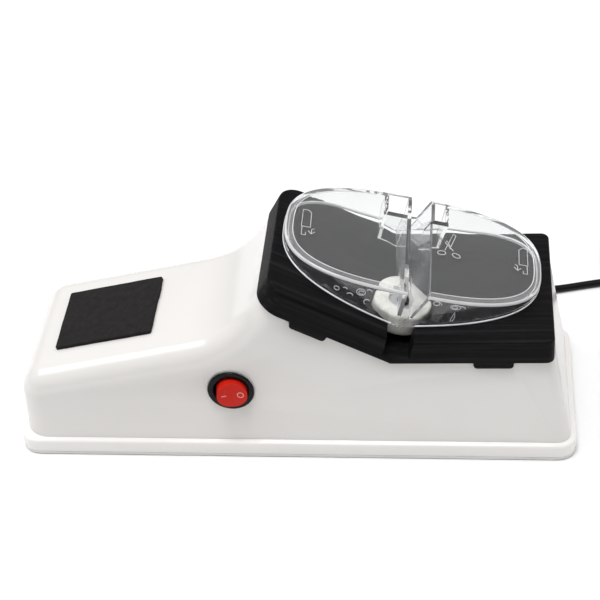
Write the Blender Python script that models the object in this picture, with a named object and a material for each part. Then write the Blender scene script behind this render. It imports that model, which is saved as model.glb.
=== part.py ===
"""Electric knife and scissors sharpener: wedge housing, V head, clear guard, wheel and motor.

Lengths are written in millimetres and turned into metres by MM. +Z is up, +X runs towards
the head end, -Y is the side with the switch, and the origin is on the ground at the middle
of the base.
"""

import math

import bmesh
import bpy
from mathutils import Matrix, Vector

MM = 0.001
GAP = 0.3

# Base and housing
LENGTH = 280.0
DEPTH = 90.0
FOOT_PROUD = 0.6
PLATE_THICK = 1.4
RIM_TOP = 9.6
RIM_LEDGE = 2.9
RIM_CORNER = 9.6
WALL = 2.5
WALL_DRAFT = math.radians(2.2)
RIGHT_LEAN = math.radians(10.1)
LEFT_LEAN = math.radians(2.0)
EDGE_ROUND = 12.0
RIGHT_ROUND = 7.0
HANDLE_SLOPE = math.radians(13.0)
HANDLE_X = -110.0
HANDLE_Z = 51.3
NECK_START_X = -50.0
NECK_RADIUS = 54.6
NECK_TURN = math.radians(65.0)
SHELL_TOP = 112.0

# Head: a V of two wings, described in its own frame (x along, z up the spindle axis)
VALLEY = (53.1, 0.0, 74.2)
HEAD_TILT = math.radians(14.2)
WING_ANGLE = math.radians(15.0)
HEAD_HALF_DEPTH = 41.5
HEAD_THICK = 13.5
LEFT_WING = 67.9
RIGHT_WING = 73.6
LEFT_CORNER = 12.0
RIGHT_CORNER = 4.0
HEAD_SKIN = 2.5
HEAD_SKIRT = 4.0

# Spindle, wheel and motor, all on one axis of the head frame
SPINDLE_X = 1.3
SPINDLE_Y = -14.3
WHEEL_R = 14.0
WHEEL_LOW = -7.0
WHEEL_TOP = 5.0
WELL_R = 15.6
WELL_FLOOR = -11.5
CHANNEL_HALF = 6.4
CHANNEL_FLOOR = -9.5
MOTOR_R = 17.5
MOTOR_FRONT = -16.9
MOTOR_REAR = -54.0

# Clear guard
GUARD_TOP = 22.0
GUARD_MID = (2.0, 7.2)
GUARD_HALF = (63.5, 37.8)
GUARD_POWER = 2.8
GUARD_WALL = 1.8
GUARD_PLATE = 2.0
NOTCH_TOP_WIDTH = 10.0
NOTCH_LOW_WIDTH = 1.2
NOTCH_BACK_FLOOR = 9.5
WHEEL_CLEAR = 6.4

# Switch
SWITCH_X = -28.6
SWITCH_Z = 42.3
BEZEL_R = 11.5
BARREL_R = 9.9
ROCKER_R = 7.5
ROCKER_TILT = math.radians(8.0)

# Hand pad
PAD_MID_X = -93.9
PAD_MID_Y = 0.5
PAD_LENGTH = 51.5
PAD_WIDTH = 42.9
PAD_THICK = 1.7

# Mains lead
CORD_R = 2.0
EXIT_X = 112.0
EXIT_Z = 15.0
RELIEF_END_Y = 64.0
COIL_MID = (192.5, 118.2)
COIL_MEAN_R = 22.0
COIL_WIDTH = 12.4
COIL_HEIGHT = 12.4
PLUG_X = 192.4
PLUG_Z = 6.9
PLUG_BACK_Y = 60.0

BASE_SCREWS = [(sx * 122.0, sy * 36.6) for sx in (-1, 1) for sy in (-1, 1)]
FEET = [(sx * 103.0, sy * 31.0) for sx in (-1, 1) for sy in (-1, 1)]
BRACKET_SCREWS = (SPINDLE_X - 25.0, SPINDLE_X + 25.0)

FREE_ROUTE = [
    (112.0, 64.3, 15.0),
    (112.2, 67.6, 14.8),
    (113.0, 71.0, 14.1),
    (114.8, 74.5, 12.7),
    (117.5, 77.6, 10.6),
    (121.0, 80.1, 8.1),
    (125.2, 81.9, 5.6),
    (129.7, 83.0, 3.5),
    (134.5, 84.0, 2.3),
    (140.5, 85.4, 2.0),
    (147.0, 87.0, 2.0),
    (154.0, 88.7, 2.0),
    (161.0, 90.2, 2.0),
    (168.0, 91.2, 2.0),
    (175.5, 91.8, 2.0),
]
TAIL_ROUTE = [
    (184.3, 88.3, 7.2),
    (187.4, 83.6, 5.4),
    (189.9, 78.4, 4.4),
    (191.6, 72.6, 4.6),
    (192.3, 66.4, 5.8),
    (192.4, 60.3, 6.9),
]


# ---------------------------------------------------------------- helpers

def clear_scene():
    for thing in list(bpy.data.objects):
        bpy.data.objects.remove(thing, do_unlink=True)


def paint(name, colour, roughness, metallic=0.0, alpha=1.0):
    """A plain Principled material."""
    found = bpy.data.materials.get(name)
    if found:
        return found
    made = bpy.data.materials.new(name)
    made.use_nodes = True
    shader = made.node_tree.nodes["Principled BSDF"]
    shader.inputs["Base Color"].default_value = (*colour, 1.0)
    shader.inputs["Roughness"].default_value = roughness
    shader.inputs["Metallic"].default_value = metallic
    shader.inputs["Alpha"].default_value = alpha
    return made


def white_abs():
    return paint("white_abs", (0.86, 0.85, 0.83), 0.25)


def black_abs():
    return paint("black_abs", (0.015, 0.015, 0.017), 0.45)


def black_rubber():
    return paint("black_rubber", (0.02, 0.02, 0.02), 0.8)


def steel():
    return paint("steel", (0.6, 0.6, 0.62), 0.35, 1.0)


def brass():
    return paint("brass", (0.75, 0.58, 0.28), 0.35, 1.0)


def add_object(name, bm, material, parent=None, place=(0, 0, 0), turn=(0, 0, 0)):
    """Turn a millimetre bmesh into a named object in metres."""
    bmesh.ops.recalc_face_normals(bm, faces=bm.faces)
    bmesh.ops.scale(bm, vec=(MM, MM, MM), verts=bm.verts)
    mesh = bpy.data.meshes.new(name)
    bm.to_mesh(mesh)
    bm.free()
    made = bpy.data.objects.new(name, mesh)
    bpy.context.collection.objects.link(made)
    made.location = [value * MM for value in place]
    made.rotation_euler = turn
    made.parent = parent
    if material:
        made.data.materials.append(material)
    return made


def smooth(thing, degrees=35.0):
    thing.data.shade_smooth()
    thing.data.set_sharp_from_angle(angle=math.radians(degrees))
    return thing


def add_empty(name, place, turn=(0, 0, 0), parent=None):
    made = bpy.data.objects.new(name, None)
    bpy.context.collection.objects.link(made)
    made.location = [value * MM for value in place]
    made.rotation_euler = turn
    made.parent = parent
    return made


def as_cutter(thing):
    thing.hide_render = True
    thing.display_type = "WIRE"
    return thing


def boolean(thing, tool, operation="DIFFERENCE"):
    """Add an exact Boolean; the tool stays in the file as a hidden guide."""
    as_cutter(tool)
    step = thing.modifiers.new(tool.name, "BOOLEAN")
    step.operation = operation
    step.solver = "EXACT"
    step.object = tool


def prism(outline, low, high, axis="Z"):
    """Extrude a 2-D outline between two levels of Z, or of Y for an (x, z) outline."""
    bm = bmesh.new()
    rings = []
    for level in (low, high):
        if axis == "Y":
            places = [(x, level, z) for x, z in outline]
        else:
            places = [(x, y, level) for x, y in outline]
        rings.append([bm.verts.new(place) for place in places])
    bm.faces.new(rings[0])
    bm.faces.new(rings[1])
    for i in range(len(outline)):
        j = (i + 1) % len(outline)
        bm.faces.new((rings[0][i], rings[0][j], rings[1][j], rings[1][i]))
    return bm


def box(low, high):
    outline = [(low[0], low[1]), (high[0], low[1]), (high[0], high[1]), (low[0], high[1])]
    return prism(outline, low[2], high[2])


def circle(radius, count, middle=(0.0, 0.0), start=0.0):
    return [
        (
            middle[0] + radius * math.cos(start + math.tau * i / count),
            middle[1] + radius * math.sin(start + math.tau * i / count),
        )
        for i in range(count)
    ]


def arc(middle, radius, begin, end, count):
    return [
        (
            middle[0] + radius * math.cos(begin + (end - begin) * i / count),
            middle[1] + radius * math.sin(begin + (end - begin) * i / count),
        )
        for i in range(count + 1)
    ]


def rounded_rectangle(half_x, half_y, radius, steps=5, middle=(0.0, 0.0)):
    corners = [(1, 1), (-1, 1), (-1, -1), (1, -1)]
    outline = []
    for k, (sx, sy) in enumerate(corners):
        centre = (middle[0] + sx * (half_x - radius), middle[1] + sy * (half_y - radius))
        outline += arc(centre, radius, k * math.pi / 2, (k + 1) * math.pi / 2, steps)
    return outline


def turned(profile, count=32, closed=False):
    """Revolve (radius, height) points about Z. Open profiles start and end on the axis."""
    bm = bmesh.new()
    rings = []
    for radius, height in profile:
        if radius == 0:
            rings.append([bm.verts.new((0, 0, height))])
        else:
            rings.append([bm.verts.new((x, y, height)) for x, y in circle(radius, count)])
    pairs = list(zip(rings, rings[1:]))
    if closed:
        pairs.append((rings[-1], rings[0]))
    for low, high in pairs:
        for i in range(count):
            j = (i + 1) % count
            ends = [low[i % len(low)], low[j % len(low)], high[j % len(high)], high[i % len(high)]]
            face = list(dict.fromkeys(ends))
            if len(face) > 2:
                bm.faces.new(face)
    return bm


def solid_rod(radius, low, high, count=24):
    return turned([(0, low), (radius, low), (radius, high), (0, high)], count)


def ring(inner, outer, low, high, count=32):
    return turned([(inner, low), (outer, low), (outer, high), (inner, high)], count, True)


def smooth_path(points, step):
    """Points every step millimetres along a centripetal curve through the given ones."""
    knots = [Vector(p) for p in points]
    knots = [2 * knots[0] - knots[1]] + knots + [2 * knots[-1] - knots[-2]]
    dense = []
    for i in range(1, len(knots) - 2):
        a, b, c, d = knots[i - 1:i + 3]
        for k in range(20):
            t = k / 20
            dense.append(0.5 * (
                2 * b + (c - a) * t + (2 * a - 5 * b + 4 * c - d) * t * t
                + (3 * b - a - 3 * c + d) * t ** 3
            ))
    dense.append(knots[-2])
    lengths = [0.0]
    for a, b in zip(dense, dense[1:]):
        lengths.append(lengths[-1] + (b - a).length)
    count = max(2, round(lengths[-1] / step))
    path = []
    k = 0
    for i in range(count + 1):
        target = lengths[-1] * i / count
        while k < len(dense) - 2 and lengths[k + 1] < target:
            k += 1
        share = (target - lengths[k]) / max(lengths[k + 1] - lengths[k], 1e-9)
        path.append(dense[k].lerp(dense[k + 1], min(max(share, 0), 1)))
    return path


def tube(name, points, radius, step, material, sides=2):
    """A round cord as a bevelled curve with filled ends."""
    curve = bpy.data.curves.new(name, "CURVE")
    curve.dimensions = "3D"
    curve.bevel_depth = radius * MM
    curve.bevel_resolution = sides
    curve.use_fill_caps = True
    path = smooth_path(points, step)
    line = curve.splines.new("POLY")
    line.points.add(len(path) - 1)
    for point, place in zip(line.points, path):
        point.co = (*(place * MM), 1.0)
    made = bpy.data.objects.new(name, curve)
    bpy.context.collection.objects.link(made)
    made.data.materials.append(material)
    return made


# ---------------------------------------------------------------- housing

def wall_half_depth(z, inset=0.0):
    """Half the distance between the front and back walls at height z."""
    return DEPTH / 2 - RIM_LEDGE - inset - (z - RIM_TOP) * math.tan(WALL_DRAFT)


def wall_right_x(z, inset=0.0):
    return LENGTH / 2 - RIM_LEDGE - inset - (z - RIM_TOP) * math.tan(RIGHT_LEAN)


def wall_left_x(z, inset=0.0):
    return -LENGTH / 2 + RIM_LEDGE + inset + (z - RIM_TOP) * math.tan(LEFT_LEAN)


def handle_height(x, inset=0.0):
    """Height of the sloping hand rest above the ground at x."""
    return HANDLE_Z + (x - HANDLE_X) * math.tan(HANDLE_SLOPE) - inset / math.cos(HANDLE_SLOPE)


def body_profile(inset, floor_z):
    """Side outline (x, z) of the wedge, drawn past the head so that the head can trim it."""
    left_x = wall_left_x(handle_height(-135.0), inset)
    centre = (
        NECK_START_X - NECK_RADIUS * math.sin(HANDLE_SLOPE),
        handle_height(NECK_START_X) + NECK_RADIUS * math.cos(HANDLE_SLOPE),
    )
    radius = NECK_RADIUS + inset
    bend = arc(centre, radius, HANDLE_SLOPE - math.pi / 2, NECK_TURN - math.pi / 2, 9)
    rise = (SHELL_TOP - inset - bend[-1][1]) / math.sin(NECK_TURN)
    crest = (bend[-1][0] + rise * math.cos(NECK_TURN), SHELL_TOP - inset)
    return (
        [(wall_left_x(floor_z, inset), floor_z), (left_x, handle_height(left_x, inset))]
        + bend
        + [crest, (wall_right_x(SHELL_TOP, inset), SHELL_TOP - inset)]
        + [(wall_right_x(floor_z, inset), floor_z)]
    )


def body_block(name, inset, floor_z, edge_round, right_round, steps):
    """The wedge as a drafted prism with rounded left, top and right edges."""
    outline = body_profile(inset, floor_z)
    bm = bmesh.new()
    sides = []
    for side in (-1, 1):
        verts = [bm.verts.new((x, side * wall_half_depth(z, inset), z)) for x, z in outline]
        sides.append(verts)
        bm.faces.new(verts)
    count = len(outline)
    for i in range(count):
        j = (i + 1) % count
        bm.faces.new((sides[0][i], sides[0][j], sides[1][j], sides[1][i]))
    bmesh.ops.recalc_face_normals(bm, faces=bm.faces)
    soft = [edge_between(sides[k][i], sides[k][i + 1]) for k in (0, 1) for i in range(count - 2)]
    soft += [edge_between(sides[0][i], sides[1][i]) for i in (1, count - 2)]
    upright = [edge_between(sides[k][count - 2], sides[k][count - 1]) for k in (0, 1)]
    places = [(edge.verts[0].co.copy(), edge.verts[1].co.copy()) for edge in upright]
    bevel(bm, soft, edge_round, steps)
    bevel(bm, [edge_near(bm, low, high) for low, high in places], right_round, steps)
    return add_object(name, bm, white_abs())


def edge_between(a, b):
    return next(edge for edge in a.link_edges if edge.other_vert(a) is b)


def edge_near(bm, top, low):
    """The long upright edge that still runs between two earlier corners."""
    mid = (top + low) / 2
    upright = [e for e in bm.edges if abs(e.verts[0].co.z - e.verts[1].co.z) > 60]
    return min(upright, key=lambda e: ((e.verts[0].co + e.verts[1].co) / 2 - mid).length)


def bevel(bm, edges, offset, steps):
    bmesh.ops.bevel(
        bm,
        geom=edges,
        offset=offset,
        offset_type="OFFSET",
        segments=steps,
        profile=0.5,
        affect="EDGES",
        clamp_overlap=False,
    )


def head_point(x, z):
    """World place of a point in the middle plane of the head frame."""
    turn = Matrix.Rotation(HEAD_TILT, 3, "Y")
    return Vector(VALLEY) + turn @ Vector((x, 0.0, z))


def head_underside(drop):
    """World (x, z) line along the underside of both wings, moved down by drop."""
    left = HEAD_TILT + WING_ANGLE
    right = HEAD_TILT - WING_ANGLE
    far = 110.0
    depth = HEAD_THICK + drop
    valley = head_point(0.0, -depth / math.cos(WING_ANGLE))
    ends = []
    for sign, slope in ((-1, left), (1, right)):
        along = Vector((math.cos(slope), 0, -math.sin(slope)))
        ends.append(valley + sign * far * along)
    return [(ends[0].x, ends[0].z), (valley.x, valley.z), (ends[1].x, ends[1].z)]


def latch_boxes(grow):
    """Outlines (x, z) of the four snap tabs that hang from the head's skirt."""
    boxes = []
    for sign, mid, half in ((-1, -39.7, 9.4), (1, 45.1, 9.4)):
        slope = HEAD_TILT - sign * WING_ANGLE
        along = Vector((math.cos(slope), 0, -math.sin(slope)))
        down = Vector((-math.sin(slope), 0, -math.cos(slope)))
        start = Vector(VALLEY) + along * mid
        high = HEAD_THICK - 1.5 - grow
        deep = HEAD_THICK + 3.2 + grow
        points = []
        for a, depth in ((-1, high), (1, high), (1, deep), (-1, deep)):
            place = start + along * a * (half + grow) + down * depth
            points.append((place.x, place.z))
        boxes.append(points)
    return boxes


def make_housing():
    shell = body_block("housing_shell", 0.0, RIM_TOP - 4.0, EDGE_ROUND, RIGHT_ROUND, 5)
    rim_low = FOOT_PROUD + PLATE_THICK + GAP
    rim = prism(rounded_rectangle(LENGTH / 2, DEPTH / 2, RIM_CORNER), rim_low, RIM_TOP)
    top_edges = [e for e in rim.edges if all(abs(v.co.z - RIM_TOP) < 1e-4 for v in e.verts)]
    bevel(rim, top_edges, 1.2, 2)
    boolean(shell, add_object("guide_rim", rim, None), "UNION")
    cavity = body_block("guide_cavity", WALL, -6.0, EDGE_ROUND - WALL, RIGHT_ROUND - WALL, 5)
    boolean(shell, cavity)
    hollow = rounded_rectangle(LENGTH / 2 - WALL, DEPTH / 2 - WALL, RIM_CORNER - WALL)
    boolean(shell, add_object("guide_rim_hollow", prism(hollow, -5.0, RIM_TOP - WALL), None))
    line = head_underside(GAP)
    above = line + [(line[2][0], 190.0), (line[0][0], 190.0)]
    boolean(shell, add_object("guide_head_space", prism(above, -60, 60, "Y"), None))
    for k, outline in enumerate(latch_boxes(GAP)):
        for side in (-1, 1):
            low, high = sorted((side * 38.2, side * 50.0))
            name = f"guide_latch_{k}_{side + 1}"
            boolean(shell, add_object(name, prism(outline, low, high, "Y"), None))
    wall_y = -wall_half_depth(SWITCH_Z)
    hole = add_object(
        "guide_switch_hole",
        prism(circle(BARREL_R + GAP, 40), -12.0, 12.0),
        None,
        place=(SWITCH_X, wall_y, SWITCH_Z),
        turn=(math.pi / 2 - WALL_DRAFT, 0, 0),
    )
    boolean(shell, hole)
    exit_hole = add_object(
        "guide_cord_hole",
        prism(circle(4.3, 24), -12.0, 12.0),
        None,
        place=(EXIT_X, wall_half_depth(EXIT_Z), EXIT_Z),
        turn=(math.pi / 2, 0, 0),
    )
    boolean(shell, exit_hole)
    for k, (x, y) in enumerate(BASE_SCREWS):
        post = turned(
            [(0, 22), (1.0, 22), (1.0, 4.7), (4.0, 4.7), (4.0, 30), (0, 30)], 20
        )
        boolean(shell, add_object(f"guide_post_{k}", post, None, place=(x, y, 0)), "UNION")
    smooth(shell)


def make_base():
    low = FOOT_PROUD
    high = FOOT_PROUD + PLATE_THICK
    plate = add_object(
        "base_plate",
        prism(rounded_rectangle(LENGTH / 2, DEPTH / 2, RIM_CORNER), low, high),
        paint("base_abs", (0.80, 0.79, 0.77), 0.4),
    )
    for k, (x, y) in enumerate(BASE_SCREWS):
        cup = add_object(f"guide_cup_{k}", solid_rod(5.6, high - 0.8, 4.4), None, place=(x, y, 0))
        boolean(plate, cup, "UNION")
        bore = turned([(0, -2), (3.7, -2), (3.7, 2.6), (1.7, 2.6), (1.7, 9), (0, 9)], 24)
        boolean(plate, add_object(f"guide_bore_{k}", bore, None, place=(x, y, 0)))
    for k, (x, y) in enumerate(FEET):
        cup = add_object(f"guide_seat_{k}", solid_rod(8.4, high - 0.8, 3.4), None, place=(x, y, 0))
        boolean(plate, cup, "UNION")
        seat = add_object(f"guide_foot_{k}", solid_rod(6.8, -2, 1.9), None, place=(x, y, 0))
        boolean(plate, seat)
    for k in range(7):
        slot = rounded_rectangle(1.4, 14.0, 1.3, 3, (22.0 + 7.0 * k, -8.0))
        boolean(plate, add_object(f"guide_vent_{k}", prism(slot, -2, 8), None))
    for k, (x, y) in enumerate(FEET):
        pad = turned([(0, 0), (5.7, 0), (6.5, 0.8), (6.5, 1.6), (0, 1.6)], 28)
        smooth(add_object(f"foot_{k + 1}", pad, black_rubber(), place=(x, y, 0)))
    for k, (x, y) in enumerate(BASE_SCREWS):
        screw = turned(
            [(0, 1.6), (1.2, 1.6), (1.2, 0.9), (3.2, 0.9), (3.4, 1.3), (3.4, 2.3)]
            + [(0.8, 2.3), (0.8, 13.0), (0, 14.2)], 20
        )
        smooth(add_object(f"base_screw_{k + 1}", screw, steel(), place=(x, y, 0)))


def make_hand_pad():
    x = PAD_MID_X
    lift = (GAP + PAD_THICK / 2) / math.cos(HANDLE_SLOPE)
    outline = rounded_rectangle(PAD_LENGTH / 2, PAD_WIDTH / 2, 1.2, 3)
    pad = prism(outline, -PAD_THICK / 2, PAD_THICK / 2)
    add_object(
        "hand_pad",
        pad,
        paint("pad_rubber", (0.02, 0.018, 0.018), 0.9),
        place=(x, PAD_MID_Y, handle_height(x) + lift),
        turn=(0, -HANDLE_SLOPE, 0),
    )


# ---------------------------------------------------------------- switch

def make_switch():
    frame = add_empty(
        "switch_frame",
        (SWITCH_X, -wall_half_depth(SWITCH_Z), SWITCH_Z),
        (math.pi / 2 - WALL_DRAFT, 0, 0),
    )
    black = paint("switch_black", (0.012, 0.012, 0.013), 0.2)
    body = turned(
        [(0, -16), (BARREL_R, -16), (BARREL_R, GAP), (BEZEL_R, GAP), (BEZEL_R, 0.7)]
        + [(BEZEL_R - 0.6, 1.3), (8.7, 1.3), (8.3, 0.9), (8.3, -9), (0, -9)], 40
    )
    body = add_object("switch_body", body, black, frame)
    socket = add_object("guide_pivot", prism(circle(1.35, 16), -9.3, 9.3), None, frame,
                        (0, 0, -3.0), (math.pi / 2, 0, 0))
    boolean(body, socket)
    smooth(body)
    outline = [(-6.0, -3.6), (6.0, -3.6), (7.8, -1.0), (7.8, 8.1), (0, 6.9), (-7.8, 8.1), (-7.8, -1.0)]
    rocker = add_object(
        "switch_rocker",
        prism(outline, -8, 8, "Y"),
        paint("rocker_red", (0.62, 0.03, 0.02), 0.3),
        frame,
        (0, 0, -3.0),
        (0, ROCKER_TILT, 0),
    )
    trim = add_object("guide_rocker", prism(circle(ROCKER_R, 36), -9, 9), None, frame,
                      (0, 0, -3.0), (0, ROCKER_TILT, 0))
    boolean(rocker, trim, "INTERSECT")
    pin = add_object("guide_rocker_pin", prism(circle(1.0, 16), -8.9, 8.9), None, frame,
                     (0, 0, -3.0), (math.pi / 2, 0, 0))
    boolean(rocker, pin, "UNION")
    smooth(rocker)
    for k, x in enumerate((-3.8, 3.8)):
        blade = box((x - 0.4, -2.4, -25.0), (x + 0.4, 2.4, -16.3))
        add_object(f"switch_terminal_{k + 1}", blade, brass(), frame)


# ---------------------------------------------------------------- head

def slab_outline(inset):
    """Plan points (distance along the wing, y) of the head, valley points included."""
    left = LEFT_WING - inset
    right = RIGHT_WING - inset
    half = HEAD_HALF_DEPTH - inset
    lr = max(LEFT_CORNER - inset, 1.0)
    rr = max(RIGHT_CORNER - inset, 1.0)
    return (
        [(0.0, -half)]
        + arc((right - rr, -half + rr), rr, -math.pi / 2, 0, 4)
        + arc((right - rr, half - rr), rr, 0, math.pi / 2, 4)
        + [(0.0, half)]
        + arc((-left + lr, half - lr), lr, math.pi / 2, math.pi, 6)
        + arc((-left + lr, -half + lr), lr, math.pi, 1.5 * math.pi, 6)
    )


def wing_place(s, y, depth):
    """A point at s along a wing and depth below its top face, in the head frame."""
    if s == 0:
        return (0.0, y, -depth / math.cos(WING_ANGLE))
    side = 1 if s > 0 else -1
    x = s * math.cos(WING_ANGLE) + side * depth * math.sin(WING_ANGLE)
    z = abs(s) * math.sin(WING_ANGLE) - depth * math.cos(WING_ANGLE)
    return (x, y, z)


def slab(outline, top_depth, low_depth):
    """A V-shaped plate between two depths below the wings' top faces."""
    bm = bmesh.new()
    rings = [[bm.verts.new(wing_place(s, y, d)) for s, y in outline] for d in (top_depth, low_depth)]
    count = len(outline)
    back = next(i for i in range(1, count) if outline[i][0] == 0)
    for verts in rings:
        bm.faces.new(verts[:back + 1])
        bm.faces.new([verts[0]] + verts[back:])
    for i in range(count):
        j = (i + 1) % count
        bm.faces.new((rings[0][i], rings[0][j], rings[1][j], rings[1][i]))
    return bm


def make_head(head):
    cover = add_object("head_cover", slab(slab_outline(0.0), 0.0, HEAD_THICK), black_abs(), head)
    hollow = add_object(
        "guide_head_hollow", slab(slab_outline(HEAD_SKIRT), HEAD_SKIN, HEAD_THICK + 12.0), None, head
    )
    core = add_object(
        "guide_head_core", prism(circle(WELL_R + 2.4, 36, (SPINDLE_X, SPINDLE_Y)), -40, 30), None, head
    )
    low, high = SPINDLE_X - CHANNEL_HALF - 2.2, SPINDLE_X + CHANNEL_HALF + 2.2
    block = add_object("guide_head_block", box((low, -60, -41), (high, SPINDLE_Y, 31)), None, head)
    boolean(hollow, core)
    boolean(hollow, block)
    for k, x in enumerate(BRACKET_SCREWS):
        post = prism(circle(3.4, 20, (x, SPINDLE_Y)), -45, 32)
        boolean(hollow, add_object(f"guide_head_post_{k}", post, None, head))
    boolean(cover, hollow)
    for k, outline in enumerate(latch_boxes(0.0)):
        for side in (-1, 1):
            near, far = sorted((side * 38.6, side * (HEAD_HALF_DEPTH - 0.1)))
            tab = prism(outline, near, far, "Y")
            boolean(cover, add_object(f"guide_tab_{k}_{side + 1}", tab, None), "UNION")
    well = prism(circle(WELL_R, 40, (SPINDLE_X, SPINDLE_Y)), WELL_FLOOR, 30)
    boolean(cover, add_object("guide_well", well, None, head))
    low, high = SPINDLE_X - CHANNEL_HALF, SPINDLE_X + CHANNEL_HALF
    channel = box((low, -70, CHANNEL_FLOOR), (high, SPINDLE_Y, 33))
    boolean(cover, add_object("guide_channel", channel, None, head))
    shaft = prism(circle(5.2, 24, (SPINDLE_X, SPINDLE_Y)), -30, 0)
    boolean(cover, add_object("guide_shaft_hole", shaft, None, head))
    for k, x in enumerate(BRACKET_SCREWS):
        bore = prism(circle(0.9, 12, (x, SPINDLE_Y)), -30, -5.5)
        boolean(cover, add_object(f"guide_post_bore_{k}", bore, None, head))
    slot = box((4.0, 5.5, -20), (6.4, 12.5, 20))
    boolean(cover, add_object("guide_dust_slot", slot, None, head))
    smooth(cover)


# ---------------------------------------------------------------- clear guard

def oval(inset, count=64):
    """Plan outline of the guard: a superellipse, pulled in by inset."""
    half_x = GUARD_HALF[0] - inset
    half_y = GUARD_HALF[1] - inset
    points = []
    for i in range(count):
        a = math.tau * i / count
        c, s = math.cos(a), math.sin(a)
        x = half_x * math.copysign(abs(c) ** (2 / GUARD_POWER), c)
        y = half_y * math.copysign(abs(s) ** (2 / GUARD_POWER), s)
        points.append((GUARD_MID[0] + x, GUARD_MID[1] + y))
    return points


def notch_right(z, extra=0.0):
    """X of the slanting right face of the blade notch at height z."""
    lean = (NOTCH_TOP_WIDTH - NOTCH_LOW_WIDTH) / GUARD_TOP
    return NOTCH_LOW_WIDTH + lean * z + extra


def make_guard(head):
    clear = paint("clear_acrylic", (0.92, 0.95, 0.96), 0.05, 0.0, 0.35)
    guard = add_object("clear_guard", prism(oval(0.0), -4.0, GUARD_TOP), clear, head)
    inside = add_object(
        "guide_guard_inside", prism(oval(GUARD_WALL), -8.0, GUARD_TOP - GUARD_PLATE), None, head
    )
    low, high = -12.0, GUARD_TOP + 8.0
    divider = [
        (-GUARD_WALL, low), (notch_right(low, GUARD_WALL), low),
        (notch_right(high, GUARD_WALL), high), (-GUARD_WALL, high),
    ]
    boolean(inside, add_object("guide_divider", prism(divider, -50, 70, "Y"), None, head))
    for k, (x0, x1) in enumerate(((-13.6, 0.0), (9.0, 19.2))):
        pocket = box((x0, 27.0, low - 1), (x1, 60.0, high + 1))
        boolean(inside, add_object(f"guide_pocket_{k}", pocket, None, head))
    boolean(guard, inside)
    back_y = GUARD_MID[1] + GUARD_HALF[1]
    notch = [
        (0.0, -14.0), (0.2, -14.0), (notch_right(-2.0), -2.0), (notch_right(35.0), 35.0), (0.0, 35.0)
    ]
    boolean(guard, add_object("guide_notch", prism(notch, -60, back_y - GUARD_WALL, "Y"), None, head))
    z = NOTCH_BACK_FLOOR
    opening = [(-0.1, z), (notch_right(z, 0.1), z), (notch_right(36.0, 0.1), 36.0), (-0.1, 36.0)]
    boolean(guard, add_object(
        "guide_notch_back", prism(opening, back_y - GUARD_WALL - 1, 70, "Y"), None, head))
    near_y, far_y = 27.0 + GUARD_WALL, back_y - GUARD_WALL
    window = box((-13.6 + GUARD_WALL, near_y, -15), (-GUARD_WALL, far_y, 37))
    boolean(guard, add_object("guide_window_left", window, None, head))
    right = [
        (notch_right(-15.0, GUARD_WALL), -15.0), (19.2 - GUARD_WALL, -15.0),
        (19.2 - GUARD_WALL, 38.0), (notch_right(GUARD_TOP, GUARD_WALL), 38.0),
        (notch_right(GUARD_TOP, GUARD_WALL), GUARD_TOP),
    ]
    boolean(guard, add_object(
        "guide_window_right", prism(right, near_y + 0.01, far_y - 0.01, "Y"), None, head))
    clearance = prism(circle(WHEEL_R + 0.5, 36, (SPINDLE_X, SPINDLE_Y)), -16.0, WHEEL_CLEAR)
    boolean(guard, add_object("guide_wheel_clear", clearance, None, head))
    rest = GAP / math.cos(WING_ANGLE)
    rise = math.tan(WING_ANGLE)
    under = [
        (-120, rest + 120 * rise), (0, rest), (120, rest + 120 * rise), (120, -80), (-120, -80)
    ]
    boolean(guard, add_object("guide_wings", prism(under, -61, 71, "Y"), None, head))
    smooth(guard)


# ---------------------------------------------------------------- spindle and motor

def make_spindle(head):
    axle = add_empty("spindle_axis", (SPINDLE_X, SPINDLE_Y, 0), parent=head)
    wheel = turned(
        [(4.4, WHEEL_LOW), (WHEEL_R - 0.8, WHEEL_LOW), (WHEEL_R, WHEEL_LOW + 0.8)]
        + [(WHEEL_R, WHEEL_TOP - 1.2), (WHEEL_R - 1.2, WHEEL_TOP), (7.2, WHEEL_TOP)]
        + [(6.6, 2.0), (4.4, 2.0)], 48, True
    )
    grit = paint("grinding_stone", (0.80, 0.79, 0.72), 0.85)
    smooth(add_object("grinding_wheel", wheel, grit, axle))
    arbor = turned(
        [(2.0, -10.6), (4.8, -10.6), (4.8, -9.6), (8.0, -9.0), (8.0, -7.3), (4.0, -7.3)]
        + [(4.0, 1.9), (1.5, 1.9), (1.5, -2.0), (2.0, -2.0)], 32, True
    )
    smooth(add_object("wheel_arbor", arbor, brass(), axle))
    smooth(add_object("wheel_washer", ring(1.6, 6.2, 2.3, 3.1), steel(), axle))
    screw = turned(
        [(0, -1.0), (1.2, -1.0), (1.2, 3.4), (3.1, 3.4), (3.1, 4.4), (2.4, 5.2), (0, 5.2)], 24
    )
    smooth(add_object("wheel_screw", screw, paint("dark_screw", (0.05, 0.05, 0.05), 0.4, 0.8), axle))
    smooth(add_object("motor_shaft", solid_rod(1.6, -60.5, -2.4), steel(), axle))
    armature = add_object("motor_armature", ring(1.9, 12.8, -45.0, -24.0, 36), steel(), axle)
    for k in range(3):
        angle = math.tau * k / 3
        slot = box((6.0, -1.0, -60), (20.0, 1.0, 0))
        tool = add_object(f"guide_slot_{k}", slot, None, axle, turn=(0, 0, angle))
        boolean(armature, tool)
    smooth(add_object("motor_commutator", ring(1.9, 4.2, -52.5, -46.5, 24), brass(), axle))


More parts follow.
